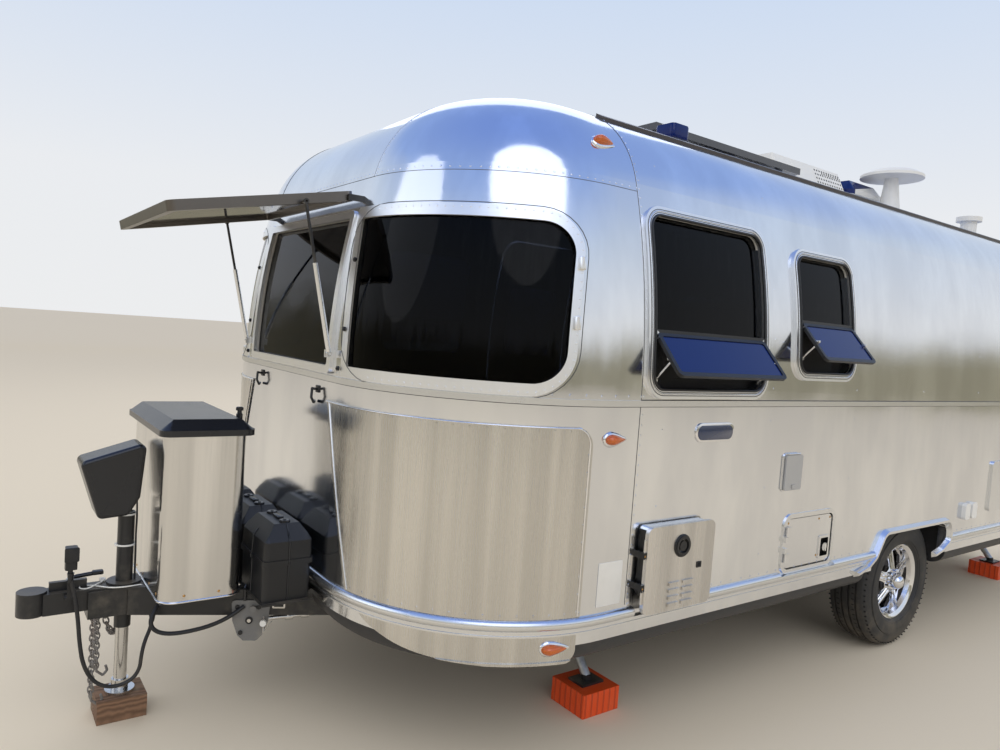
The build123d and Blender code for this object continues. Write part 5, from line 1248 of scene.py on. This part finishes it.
def side_details():
    """Blank badge and label, the hatch's and heater's screws, and the heater's exhaust, on the road side."""
    shape = bmesh.new()
    plate(shape, (-1.262, -1.032), (-1.228, -1.2215), (1.1875, 1.2625), 0.034, soft=0.0025)
    plate(shape, (-1.252, -1.042), (-1.2300, -1.2265), (1.197, 1.253), 0.027, soft=0.0012, finish=1)
    finish_shape("blank_badge", shape, [CHROME, BADGE_BLUE])
    shape = bmesh.new()
    plate(shape, (-1.712, -1.596), (-1.2235, -1.2215), (0.622, 0.778), 0.004, soft=0.0003)
    finish_shape("blank_label", shape, [BLANK_WHITE])

    outward = Vector((0, -1, 0))
    shape = bmesh.new()
    for x in (-0.585, -0.345, -0.255):
        for z in (0.643, 0.812):
            rivet(shape, Vector((x, -1.2225, z)), outward, 0.0055, 0.0022)
    finish_shape("hatch_screws", shape, [BRASS_SCREW], "storage_hatch")
    shape = bmesh.new()
    for z in (0.672, 0.791):
        rivet(shape, Vector((-1.524, -1.2605, z)), outward, 0.004, 0.0015)
    finish_shape("heater_leaf_screws", shape, [BRASS_SCREW])

    shape = bmesh.new()
    hub = (EXHAUST_XZ[0], -1.2635, EXHAUST_XZ[1])
    turned(shape, hub, outward, EXHAUST_COLLAR)
    turned(shape, hub, outward, EXHAUST_BAFFLE)
    plate(shape, (-1.241, -1.213), (-1.2665, -1.2630), (0.715, 0.739), 0.003)
    # The inner near-black plate is painted shade, standing for the opening in the black plate round it
    plate(shape, (-1.236, -1.218), (-1.2675, -1.2650), (0.720, 0.734), 0.002, finish=1)
    finish_shape("exhaust_ring", shape, [SCREW_BLACK, HOLLOW_SHADE], "heater_door")


def lower_pane_arms():
    """Bright stay arms at both ends of each hinged lower pane."""
    shape = bmesh.new()
    for side, x_low, x_high, z_low, _, hinge in SIDE_WINDOWS:
        drop = 0.12 if z_low < 1.4 else 0.10
        foot_z = hinge - drop - 0.045
        for x in (x_low + 0.054, x_high - 0.054):
            rod(shape, (x, side * 1.218, foot_z), (x, side * 1.292, hinge - drop * 0.72), 0.0042, 8)
            rod(shape, (x, side * 1.216, foot_z), (x, side * 1.226, foot_z), 0.008, 10)
            block(shape, (x - 0.006, x + 0.006), sorted((side * 1.272, side * 1.296)),
                  (hinge - drop * 0.74, hinge - drop * 0.64), 0.002)
    finish_shape("pane_stays", shape, [FRAME_METAL])


# Screws of the front window's posts: x, distance aside, z, and the direction out
POST_SCREWS = (
    (-2.371, 0.533, 1.776, (-1, 0.05, 0.15)), (-2.399, 0.538, 1.524, (-1, 0.04, 0.06)),
    (-2.408, 0.520, 1.380, (-1, 0.0, 0.0)),
)


def front_details():
    """Hooks below the front window, and the screws that hold the corner windows' posts."""
    shape = bmesh.new()
    for y, z in ((0.315, 1.290), (-0.331, 1.284)):
        plate(shape, (-2.4065, -2.4015), (y - 0.016, y + 0.016), (z - 0.012, z + 0.016), 0.005, axis=0)
        rod(shape, (-2.404, y, z), (-2.428, y, z + 0.004), 0.005, 10)
        rod(shape, (-2.426, y, z + 0.006), (-2.430, y - 0.006, z - 0.032), 0.005, 10)
        rod(shape, (-2.430, y - 0.006, z - 0.030), (-2.420, y - 0.008, z - 0.050), 0.005, 10)
        rod(shape, (-2.421, y - 0.010, z - 0.048), (-2.410, y + 0.012, z - 0.046), 0.006, 10)
    for side in (LEFT, RIGHT):
        for x, y, z, away in POST_SCREWS:
            out = Vector((away[0], side * away[1], away[2])).normalized()
            spot = Vector((x, side * y, z))
            rod(shape, spot - out * 0.002, spot + out * 0.006, 0.0085, 14)
            rod(shape, spot + out * 0.006, spot + out * 0.009, 0.0045, 8)
    finish_shape("front_hooks", shape, [SCREW_BLACK])


# Middles of the three boxes, and a cap's profile: height, radius
BATTERY_X, BATTERY_YS, BATTERY_TOP_Z = -2.517, (-0.292, 0.0, 0.292), 0.784
BATTERY_CAP = ((0.0, 0.021), (0.008, 0.020), (0.010, 0.017), (0.010, 0.006), (0.013, 0.005), (0.013, 0.0005))


def battery_details():
    """Moulded ribs, caps and lid clips of the battery boxes."""
    boxes, lift, slope = surface_of("battery_boxes"), 0.001, math.radians(38)
    ribs = []
    for centre_y in BATTERY_YS:
        over = []
        for angle in steps(slope, math.pi - slope, 0.02):
            out = Vector((0, math.cos(angle), math.sin(angle)))
            over.append((Vector((BATTERY_X, centre_y, 0.62)) + out * 0.5, -out))
        ribs += line_on(over, boxes, lift)
        front = [((-4, centre_y, z), (1, 0, 0)) for z in steps(0.51, 0.75, 0.008)]
        ribs += line_on(front, boxes, lift)
    for side in (LEFT, RIGHT):
        ribs += line_on(up_side(side, BATTERY_X, 0.51, 0.76, 0.008), boxes, lift)
    wire("battery_ribs", ribs, 0.0035, GLOSS_BLACK)
    shape = bmesh.new()
    for centre_y in BATTERY_YS:
        for aside in (-0.07, 0.07):
            turned(shape, (BATTERY_X, centre_y + aside, BATTERY_TOP_Z), (0, 0, 1), BATTERY_CAP, 24)
        along, across = (BATTERY_X - 0.012, BATTERY_X + 0.012), (centre_y - 0.03, centre_y + 0.03)
        plate(shape, along, across, (0.785, 0.795), 0.005, axis=2, soft=0.002)
    finish_shape("battery_caps", shape, [GLOSS_BLACK])


# The knob's profile: height, radius
LID_KNOB = (
    (0.0, 0.012), (0.022, 0.012), (0.024, 0.009), (0.034, 0.008), (0.036, 0.014), (0.046, 0.014),
    (0.049, 0.010), (0.049, 0.0005),
)


def gas_cover_details():
    """Screws and foot bead of the gas bottles' cover, and the knob on its lid."""
    cover = surface_of("gas_cover")
    shape = bmesh.new()
    ring = []
    for angle in steps(-math.pi, math.pi, 0.02):
        out = Vector((math.cos(angle), math.sin(angle), 0))
        ring.append((Vector((-2.785, 0, 0.53)) + out * 1.2, -out))
    for place, away in spaced(ring, 0.115, cover):
        rivet(shape, place, away, 0.0055, 0.002)
    finish_shape("cover_screws", shape, [BRASS_SCREW])
    low = [(start - Vector((0, 0, 0.0225)), ahead) for start, ahead in ring]
    wire("cover_foot_bead", line_on(low, cover, 0.001), 0.004, CHROME)
    shape = bmesh.new()
    turned(shape, (-2.652, -0.19, 1.150), (0, 0, 1), LID_KNOB, 20)
    finish_shape("lid_knob", shape, [GLOSS_BLACK], "gas_lid")


UP = Vector((0, 0, 1))
# The pipe's lengths and nuts: from, to, radius
GAS_PIPE = (
    ((-2.540, -0.250, 0.375), (-2.300, -0.300, 0.382), 0.009),
    ((-2.460, -0.268, 0.377), (-2.430, -0.274, 0.378), 0.014),
    ((-2.400, -0.280, 0.379), (-2.370, -0.286, 0.380), 0.014),
)
POST_TIE = ((-0.003, 0.030), (-0.003, 0.0335), (0.003, 0.0335), (0.003, 0.030))
POST_WIRES = (
    ((-2.960, 0.010, 0.830), (-2.959, 0.004, 0.770), (-2.961, -0.002, 0.700), (-2.960, 0.003, 0.650),
     (-2.958, 0.010, 0.580), (-2.957, 0.014, 0.507)),
    ((-2.964, -0.016, 0.830), (-2.961, -0.014, 0.760), (-2.963, -0.018, 0.690), (-2.961, -0.015, 0.620),
     (-2.960, -0.012, 0.507)),
)


def sway_plate_details(dark, bright, white, side):
    """Bolts and spring pin of one sway bar plate, the strap above it and the rail's tube end."""
    out = Vector((-0.43, side * 0.9, 0)).normalized()
    along = Vector((0.9, side * 0.43, 0)).normalized()
    hole = Vector((-2.597, side * 0.259, 0.383))
    rod(dark, hole - out * 0.002, hole + out * 0.004, 0.014, 20)
    rod(bright, hole + out * 0.004, hole + out * 0.007, 0.0075, 6)
    pin = Vector((-2.547, side * 0.282, 0.383))
    rod(bright, pin - out * 0.004, pin + out * 0.030, 0.007, 14)
    rod(white, pin + out * 0.024, pin + out * 0.036, 0.012, 20)
    clip = pin + out * 0.014
    rod(bright, clip + UP * 0.02, clip - UP * 0.045, 0.0025, 8)
    rod(bright, clip - UP * 0.045, clip + along * 0.03, 0.0022, 8)
    for aside, z in ((-0.045, 0.435), (0.035, 0.435), (-0.03, 0.335)):
        bolt = hole + along * aside
        bolt.z = z
        rod(dark, bolt - out * 0.001, bolt + out * 0.006, 0.009, 6)
    strap = Vector((-2.612, side * 0.246, 0.462))
    rod(dark, strap + out * 0.006, strap + out * 0.010 + UP * 0.045, 0.007, 10)
    rod(dark, strap + out * 0.010 + UP * 0.043, strap - out * 0.03 + UP * 0.052, 0.007, 10)
    pose = facing_pose(Vector((-2.500, side * 0.3065, 0.452)), out, (1, 0, 0))
    plate(bright, (-0.024, 0.024), (-0.019, 0.019), (-0.002, 0.010), 0.004, axis=2, turn=pose)
    plate(dark, (-0.018, 0.018), (-0.013, 0.013), (0.009, 0.0108), 0.003, axis=2, turn=pose)


def tongue_details():
    """Sway plates' hardware, gas pipe, post ties and wires, coupler latch and the plug's holder."""
    dark, bright, white = bmesh.new(), bmesh.new(), bmesh.new()
    for side in (LEFT, RIGHT):
        sway_plate_details(dark, bright, white, side)
    for start, end, radius in GAS_PIPE:
        rod(bright, start, end, radius, 14)
    block(bright, (-2.456, -2.440), (-0.282, -0.262), (0.372, 0.402), 0.002)
    for z in (0.655, 0.772):
        turned(white, (-2.995, 0, z), UP, POST_TIE, 40)
        block(white, (-3.032, -3.024), (-0.010, 0.010), (z - 0.004, z + 0.004), 0.001)
    rod(dark, (-3.200, 0.040, 0.500), (-3.150, 0.040, 0.538), 0.008, 12)
    rod(dark, (-3.152, 0.040, 0.537), (-3.080, 0.040, 0.543), 0.008, 12)
    block(dark, (-3.098, -3.060), (0.028, 0.052), (0.536, 0.552), 0.004)
    rod(bright, (-3.175, 0.010, 0.520), (-3.175, 0.072, 0.520), 0.005, 12)
    rod(dark, (-3.183, -0.092, 0.596), (-3.183, -0.092, 0.562), 0.0115, 18, end_radius=0.0076)
    rod(dark, (-2.905, -0.075, 0.401), (-2.905, -0.075, 0.366), 0.0135, 18, end_radius=0.0078)
    plate(dark, (-3.206, -3.160), (-0.116, -0.110), (0.640, 0.692), 0.006, axis=1, soft=0.0015)
    finish_shape("tongue_dark_parts", dark, [GLOSS_BLACK])
    finish_shape("tongue_bright_parts", bright, [WORN_CHROME])
    finish_shape("tongue_ties", white, [WHITE_PLASTIC])
    wire("post_wires", POST_WIRES, 0.003, BLACK_RUBBER)


CHAIN_TOP_Z, CHAIN_PITCH = 0.415, 0.0195
LINK_LENGTH, LINK_WIDTH = 0.031, 0.019
# A chain hook's four bars, from its last link: from, to
HOOK_BARS = (
    ((0, 0, 0.012), (0.004, 0, -0.016)), ((0.004, 0, -0.014), (0.026, 0, -0.034)),
    ((0.026, 0, -0.033), (0.040, 0, -0.016)), ((0.040, 0, -0.017), (0.034, 0, 0.004)),
)


def hanging_chain(x, y, count):
    """The joints between the links of a chain that hangs straight down from the coupler."""
    return [Vector((x, y, CHAIN_TOP_Z - CHAIN_PITCH * link)) for link in range(count)]


def slack_chain(x, y, sag, count):
    """The joints between the links of a chain that sags between two places under the coupler."""
    half_wave = math.pi / (count - 1)
    return [Vector((x + 0.0065 * link, y, CHAIN_TOP_Z - sag * math.sin(half_wave * link)))
            for link in range(count)]


def safety_chains():
    """Safety chains with their hooks, that hang from the coupler's underside."""
    strands = (hanging_chain(-3.100, -0.048, 17), slack_chain(-3.060, 0.045, 0.115, 14),
               hanging_chain(-3.070, 0.062, 14))
    links = []
    for strand in strands:
        for number, (low, high) in enumerate(zip(strand, strand[1:])):
            middle, ahead = (low + high) / 2, (high - low).normalized()
            side = ahead.cross(Vector((1, 0.3, 0)) if number % 2 else Vector((0.3, 1, 0))).normalized()
            loop = []
            for angle in steps(0, math.tau * 11 / 12, math.tau / 12):
                loop.append(middle + ahead * (LINK_LENGTH / 2) * math.cos(angle)
                            + side * (LINK_WIDTH / 2) * math.sin(angle))
            links.append(loop)
    wire("safety_chains", links, 0.0032, RUSTY, closed=True, rounds=1)
    shape = bmesh.new()
    for foot in (strands[0][-1], strands[2][-1]):
        for start, end in HOOK_BARS:
            rod(shape, foot + Vector(start), foot + Vector(end), 0.0048, 10)
    finish_shape("chain_hooks", shape, [RUSTY])


def roof_details():
    """Black discs of painted shade for the holes in the cooler's shroud, and the small blue cable entry in
    front of the panels.
    """
    shroud, pitch = surface_of("air_conditioner"), 0.028
    heights = steps(2.600, 2.735, 0.027)
    rays = []
    for x in steps(0.90, 1.235, pitch):
        for z in heights:
            rays += [side_ray(side, x, z) for side in (LEFT, RIGHT)]
    for y in steps(-0.252, 0.252, pitch):
        rays += [((3, y, z), (-1, 0, 0)) for z in heights]
        rays += [((x, y, 4), (0, 0, -1)) for x in steps(0.98, 1.22, pitch)]
    found = [meet(shroud, start, ahead) for start, ahead in rays]
    holes = rivet_heads([hit for hit in found if hit is not None], 0.0075, 0.0005)
    finish_shape("shroud_hole_shades", holes, [HOLLOW_SHADE])

    shape = bmesh.new()
    foot = meet(surface_of("roof end_domes"), (-0.925, -0.675, 4), (0, 0, -1))[0].z
    plate(shape, (-0.990, -0.860), (-0.740, -0.610), (foot - 0.006, foot + 0.012), 0.015, axis=2, soft=0.003)
    plate(shape, (-0.982, -0.868), (-0.732, -0.618), (foot + 0.010, 2.540), 0.022, axis=2, soft=0.010,
          finish=1)
    rod(shape, (-0.870, -0.655, foot + 0.030), (-0.700, -0.500, 2.560), 0.004, 10)
    rod(shape, (-0.870, -0.700, foot + 0.030), (-0.640, -0.512, 2.560), 0.004, 10)
    finish_shape("roof_cable_entry", shape, [GLOSS_BLACK, PANE_GLASS])


# Windows of the door and the rear: across from, across to, z from, z to, corners' radius
DOOR_WINDOW = (-0.430, -0.020, 1.400, 1.880, 0.045)
REAR_WINDOW = (-0.455, 0.455, 1.354, 1.965, 0.02)


def round_window(name, window, beads, body, look):
    """A bright rim and a black gasket on the surface round a window, by their margins and radii."""
    rim_margin, rim_radius, gasket_margin, gasket_radius = beads
    for margin, radius, finish, part in ((rim_margin, rim_radius, CHROME, "_rim"),
                                         (gasket_margin, gasket_radius, BLACK_RUBBER, "_gasket")):
        found = [look(across, z) for across, z in loop_round(*window, margin)]
        run = [hit[0] for hit in found if hit is not None]
        wire(name + part, [run], radius, finish, body, closed=True)


def door_details():
    """Lock above the door's handle, and the rims and gaskets of the door's and the rear window."""
    skins = surface_of("entry_door wall_right")
    y = meet(skins, (0.050, 2, 1.325), (0, -1, 0))[0].y
    shape = bmesh.new()
    rod(shape, (0.050, y - 0.002, 1.325), (0.050, y + 0.008, 1.325), 0.018, 24)
    rod(shape, (0.050, y + 0.007, 1.325), (0.050, y + 0.010, 1.325), 0.007, 14, finish=1)
    for z in (1.150, 1.270):
        rivet(shape, Vector((0.050, 1.2342, z)), Vector((0, 1, 0)), 0.005, 0.002, finish=1)
    finish_shape("door_lock", shape, [CHROME, SCREW_BLACK], "entry_door")
    round_window("door_window", DOOR_WINDOW, (-0.013, 0.0048, -0.003, 0.0055), "entry_door",
                 lambda x, z: meet(skins, *side_ray(RIGHT, x, z)))
    backs = surface_of("rear_end window_frames end_domes")
    round_window("rear_window", REAR_WINDOW, (-0.016, 0.0052, -0.004, 0.0060), "trailer",
                 lambda y, z: meet(backs, (5, y, z), (-1, 0, 0)))


def rear_details():
    """Bare plate holder with its lamp, the rear lamps' clear bands and the bumper's end screws."""
    back, bumper = surface_of("rear_end"), surface_of("bumper")
    x = meet(back, (5, 0, 1.0), (-1, 0, 0))[0].x
    shape = bmesh.new()
    plate(shape, (x - 0.010, x + 0.010), (-0.19, 0.19), (0.86, 1.02), 0.012, axis=0, soft=0.002, finish=3)
    plate(shape, (x + 0.009, x + 0.014), (-0.165, 0.165), (0.873, 0.993), 0.010, axis=0, soft=0.001, finish=1)
    block(shape, (x - 0.002, x + 0.040), (-0.055, 0.055), (1.022, 1.048), 0.006)
    for y in (-0.13, 0.13):
        rod(shape, (x + 0.012, y, 0.980), (x + 0.016, y, 0.980), 0.005, 10, finish=2)
    for side in (LEFT, RIGHT):
        low, high = sorted((side * 0.823, side * 0.697))
        plate(shape, (3.232, 3.2385), (low, high), (0.925, 0.965), 0.008, axis=0, soft=0.002, finish=1)
        place = meet(bumper, (5, side * 0.72, 0.455), (-1, 0, 0))[0]
        rod(shape, place - Vector((0.002, 0, 0)), place + Vector((0.006, 0, 0)), 0.011, 6, finish=3)
    finish_shape("plate_holder", shape, [CHROME, BLANK_WHITE, BRASS_SCREW, SCREW_BLACK])


def soft_cushions():
    """Seat and back cushions, softened all over and drawn in at their seams."""
    mesh = nodes["cushions"].data.copy()
    rough = bpy.data.objects.new("cushion_block", mesh)
    bpy.context.scene.collection.objects.link(rough)
    even = rough.modifiers.new("even", "REMESH")
    even.mode = "VOXEL"
    even.voxel_size = 0.016
    even.use_smooth_shade = True
    soften = rough.modifiers.new("soften", "SMOOTH")
    soften.factor = 0.8
    soften.iterations = 12
    drawn = bpy.data.meshes.new_from_object(rough.evaluated_get(bpy.context.evaluated_depsgraph_get()))
    bpy.data.objects.remove(rough)
    drawn.materials.clear()
    shape = bmesh.new()
    shape.from_mesh(drawn)
    shape.normal_update()
    for corner in shape.verts:
        x, y, _ = corner.co
        nearest = min(abs(abs(y) - seam) for seam in (0.0, 0.56))
        if abs(y) > 0.70:
            nearest = min(nearest, abs(x + 1.68))
        crease = math.exp(-(nearest / 0.018) ** 2)
        swell = 0.003 * math.cos(min(nearest / 0.28, 1.0) * math.pi)
        corner.co -= corner.normal * (0.012 * crease + 0.003 + swell)
    bmesh.ops.smooth_vert(shape, verts=shape.verts, factor=0.4, use_axis_x=True, use_axis_y=True,
                          use_axis_z=True)
    piece = finish_shape("cushion_covers", shape, [BLUE_CLOTH], sharp=80)
    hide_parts("cushions")


# Studio: pale floor, and a low dark band far off that only metal and glass mirror
BAND_RADIUS, BAND_HEIGHT = 26, 5.4


def set_floor():
    """Plain pale floor, and the band round it."""
    floor_mesh = bpy.data.meshes.new("studio_floor")
    plane = bmesh.new()
    bmesh.ops.create_grid(plane, x_segments=1, y_segments=1, size=120)
    plane.to_mesh(floor_mesh)
    floor = bpy.data.objects.new("studio_floor", floor_mesh)
    floor.location = (0, 0, -0.001)
    bpy.context.scene.collection.objects.link(floor)
    cover = Finish("studio_floor", (0.80, 0.715, 0.585), 0.9)
    floor_mesh.materials.append(cover.material)

    band = bmesh.new()
    bmesh.ops.create_cone(band, cap_ends=False, segments=64, radius1=BAND_RADIUS, radius2=BAND_RADIUS,
                          depth=BAND_HEIGHT, matrix=Matrix.Translation((0, 0, BAND_HEIGHT / 2)))
    band_mesh = bpy.data.meshes.new("studio_band")
    band.to_mesh(band_mesh)
    backdrop = bpy.data.objects.new("studio_band", band_mesh)
    bpy.context.scene.collection.objects.link(backdrop)
    shade = Finish("studio_band", (0.42, 0.40, 0.30), 1.0)
    ragged = shade.noise(0.55, stretch=(1, 1, 0.4), detail=4, rough=0.6)
    height = shade.axes()[2] / BAND_HEIGHT
    shade.set("Alpha", shade.between(height + (ragged - 0.5) * 0.9, 1.0, 0.45))
    band_mesh.materials.append(shade.material)
    backdrop.visible_camera = False
    backdrop.visible_diffuse = False
    backdrop.visible_shadow = False


# Colours of the mirrored backdrop, from the horizon up
SKY_STOPS = (
    (0.0, (0.84, 0.85, 0.86, 1)), (0.16, (0.82, 0.84, 0.87, 1)), (0.40, (0.62, 0.72, 0.88, 1)),
    (0.62, (0.32, 0.47, 0.87, 1)), (1.0, (0.22, 0.36, 0.84, 1)),
)


def set_world():
    """Backdrop that the camera, metal and glass see, and a plain soft light for everything else."""
    world = bpy.data.worlds.new("studio")
    world.use_nodes = True
    tree = world.node_tree
    bpy.context.scene.world = world
    background = tree.nodes["Background"]
    place = tree.nodes.new("ShaderNodeTexCoord")
    split = tree.nodes.new("ShaderNodeSeparateXYZ")
    ramp = tree.nodes.new("ShaderNodeValToRGB")
    tree.links.new(place.outputs["Generated"], split.inputs[0])
    tree.links.new(split.outputs["Z"], ramp.inputs[0])
    tree.links.new(ramp.outputs[0], background.inputs["Color"])
    stops = ramp.color_ramp.elements
    stops[0].color, stops[1].color = SKY_STOPS[0][1], SKY_STOPS[-1][1]
    for position, colour in SKY_STOPS[1:-1]:
        stops.new(position).color = colour
    rays = tree.nodes.new("ShaderNodeLightPath")
    seen = tree.nodes.new("ShaderNodeMath")
    mirrored = tree.nodes.new("ShaderNodeMath")
    mirrored.use_clamp = True
    tree.links.new(rays.outputs["Is Camera Ray"], seen.inputs[0])
    tree.links.new(rays.outputs["Is Glossy Ray"], seen.inputs[1])
    tree.links.new(seen.outputs[0], mirrored.inputs[0])
    tree.links.new(rays.outputs["Is Transmission Ray"], mirrored.inputs[1])
    soft_light = tree.nodes.new("ShaderNodeBackground")
    soft_light.inputs["Color"].default_value = (0.80, 0.81, 0.83, 1)
    soft_light.inputs["Strength"].default_value = 0.93
    blend = tree.nodes.new("ShaderNodeMixShader")
    tree.links.new(mirrored.outputs[0], blend.inputs[0])
    tree.links.new(soft_light.outputs[0], blend.inputs[1])
    tree.links.new(background.outputs[0], blend.inputs[2])
    tree.links.new(blend.outputs[0], tree.nodes["World Output"].inputs["Surface"])


# Disc lamps: name, place, what they look at, width, power
LAMPS = (
    ("key", (-5.0, -9.0, 9.5), (-0.4, 0.0, 1.2), 10.0, 260),
    ("rim", (5.0, 8.0, 9.5), (0.5, 0.0, 1.5), 10.0, 200),
    ("front", (-11.0, 2.0, 6.0), (-2.0, 0.0, 1.2), 7.0, 80),
)


def set_lamps():
    """Large soft disc lamps, which the camera doesn't see."""
    for name, at, towards, size, power in LAMPS:
        lamp = bpy.data.lights.new(name, "AREA")
        lamp.shape = "DISK"
        lamp.size = size
        lamp.energy = power
        holder = bpy.data.objects.new(name, lamp)
        aim = (Vector(towards) - Vector(at)).to_track_quat("-Z", "Y")
        holder.matrix_world = Matrix.Translation(at) @ aim.to_matrix().to_4x4()
        holder.visible_camera = False
        bpy.context.scene.collection.objects.link(holder)


rivet_body()
rivet_guards()
seam_lines()
window_lines()
corner_window_trim()
belt_shadows()
paint_parts()
marker_lamps()
guard_edges()
side_details()
lower_pane_arms()
front_details()
battery_details()
gas_cover_details()
tongue_details()
safety_chains()
roof_details()
door_details()
rear_details()
soft_cushions()
for wheel_side in (LEFT, RIGHT):
    tyre_and_wheel(wheel_side)
set_floor()
set_world()
set_lamps()
bpy.context.scene.view_settings.view_transform = "Standard"
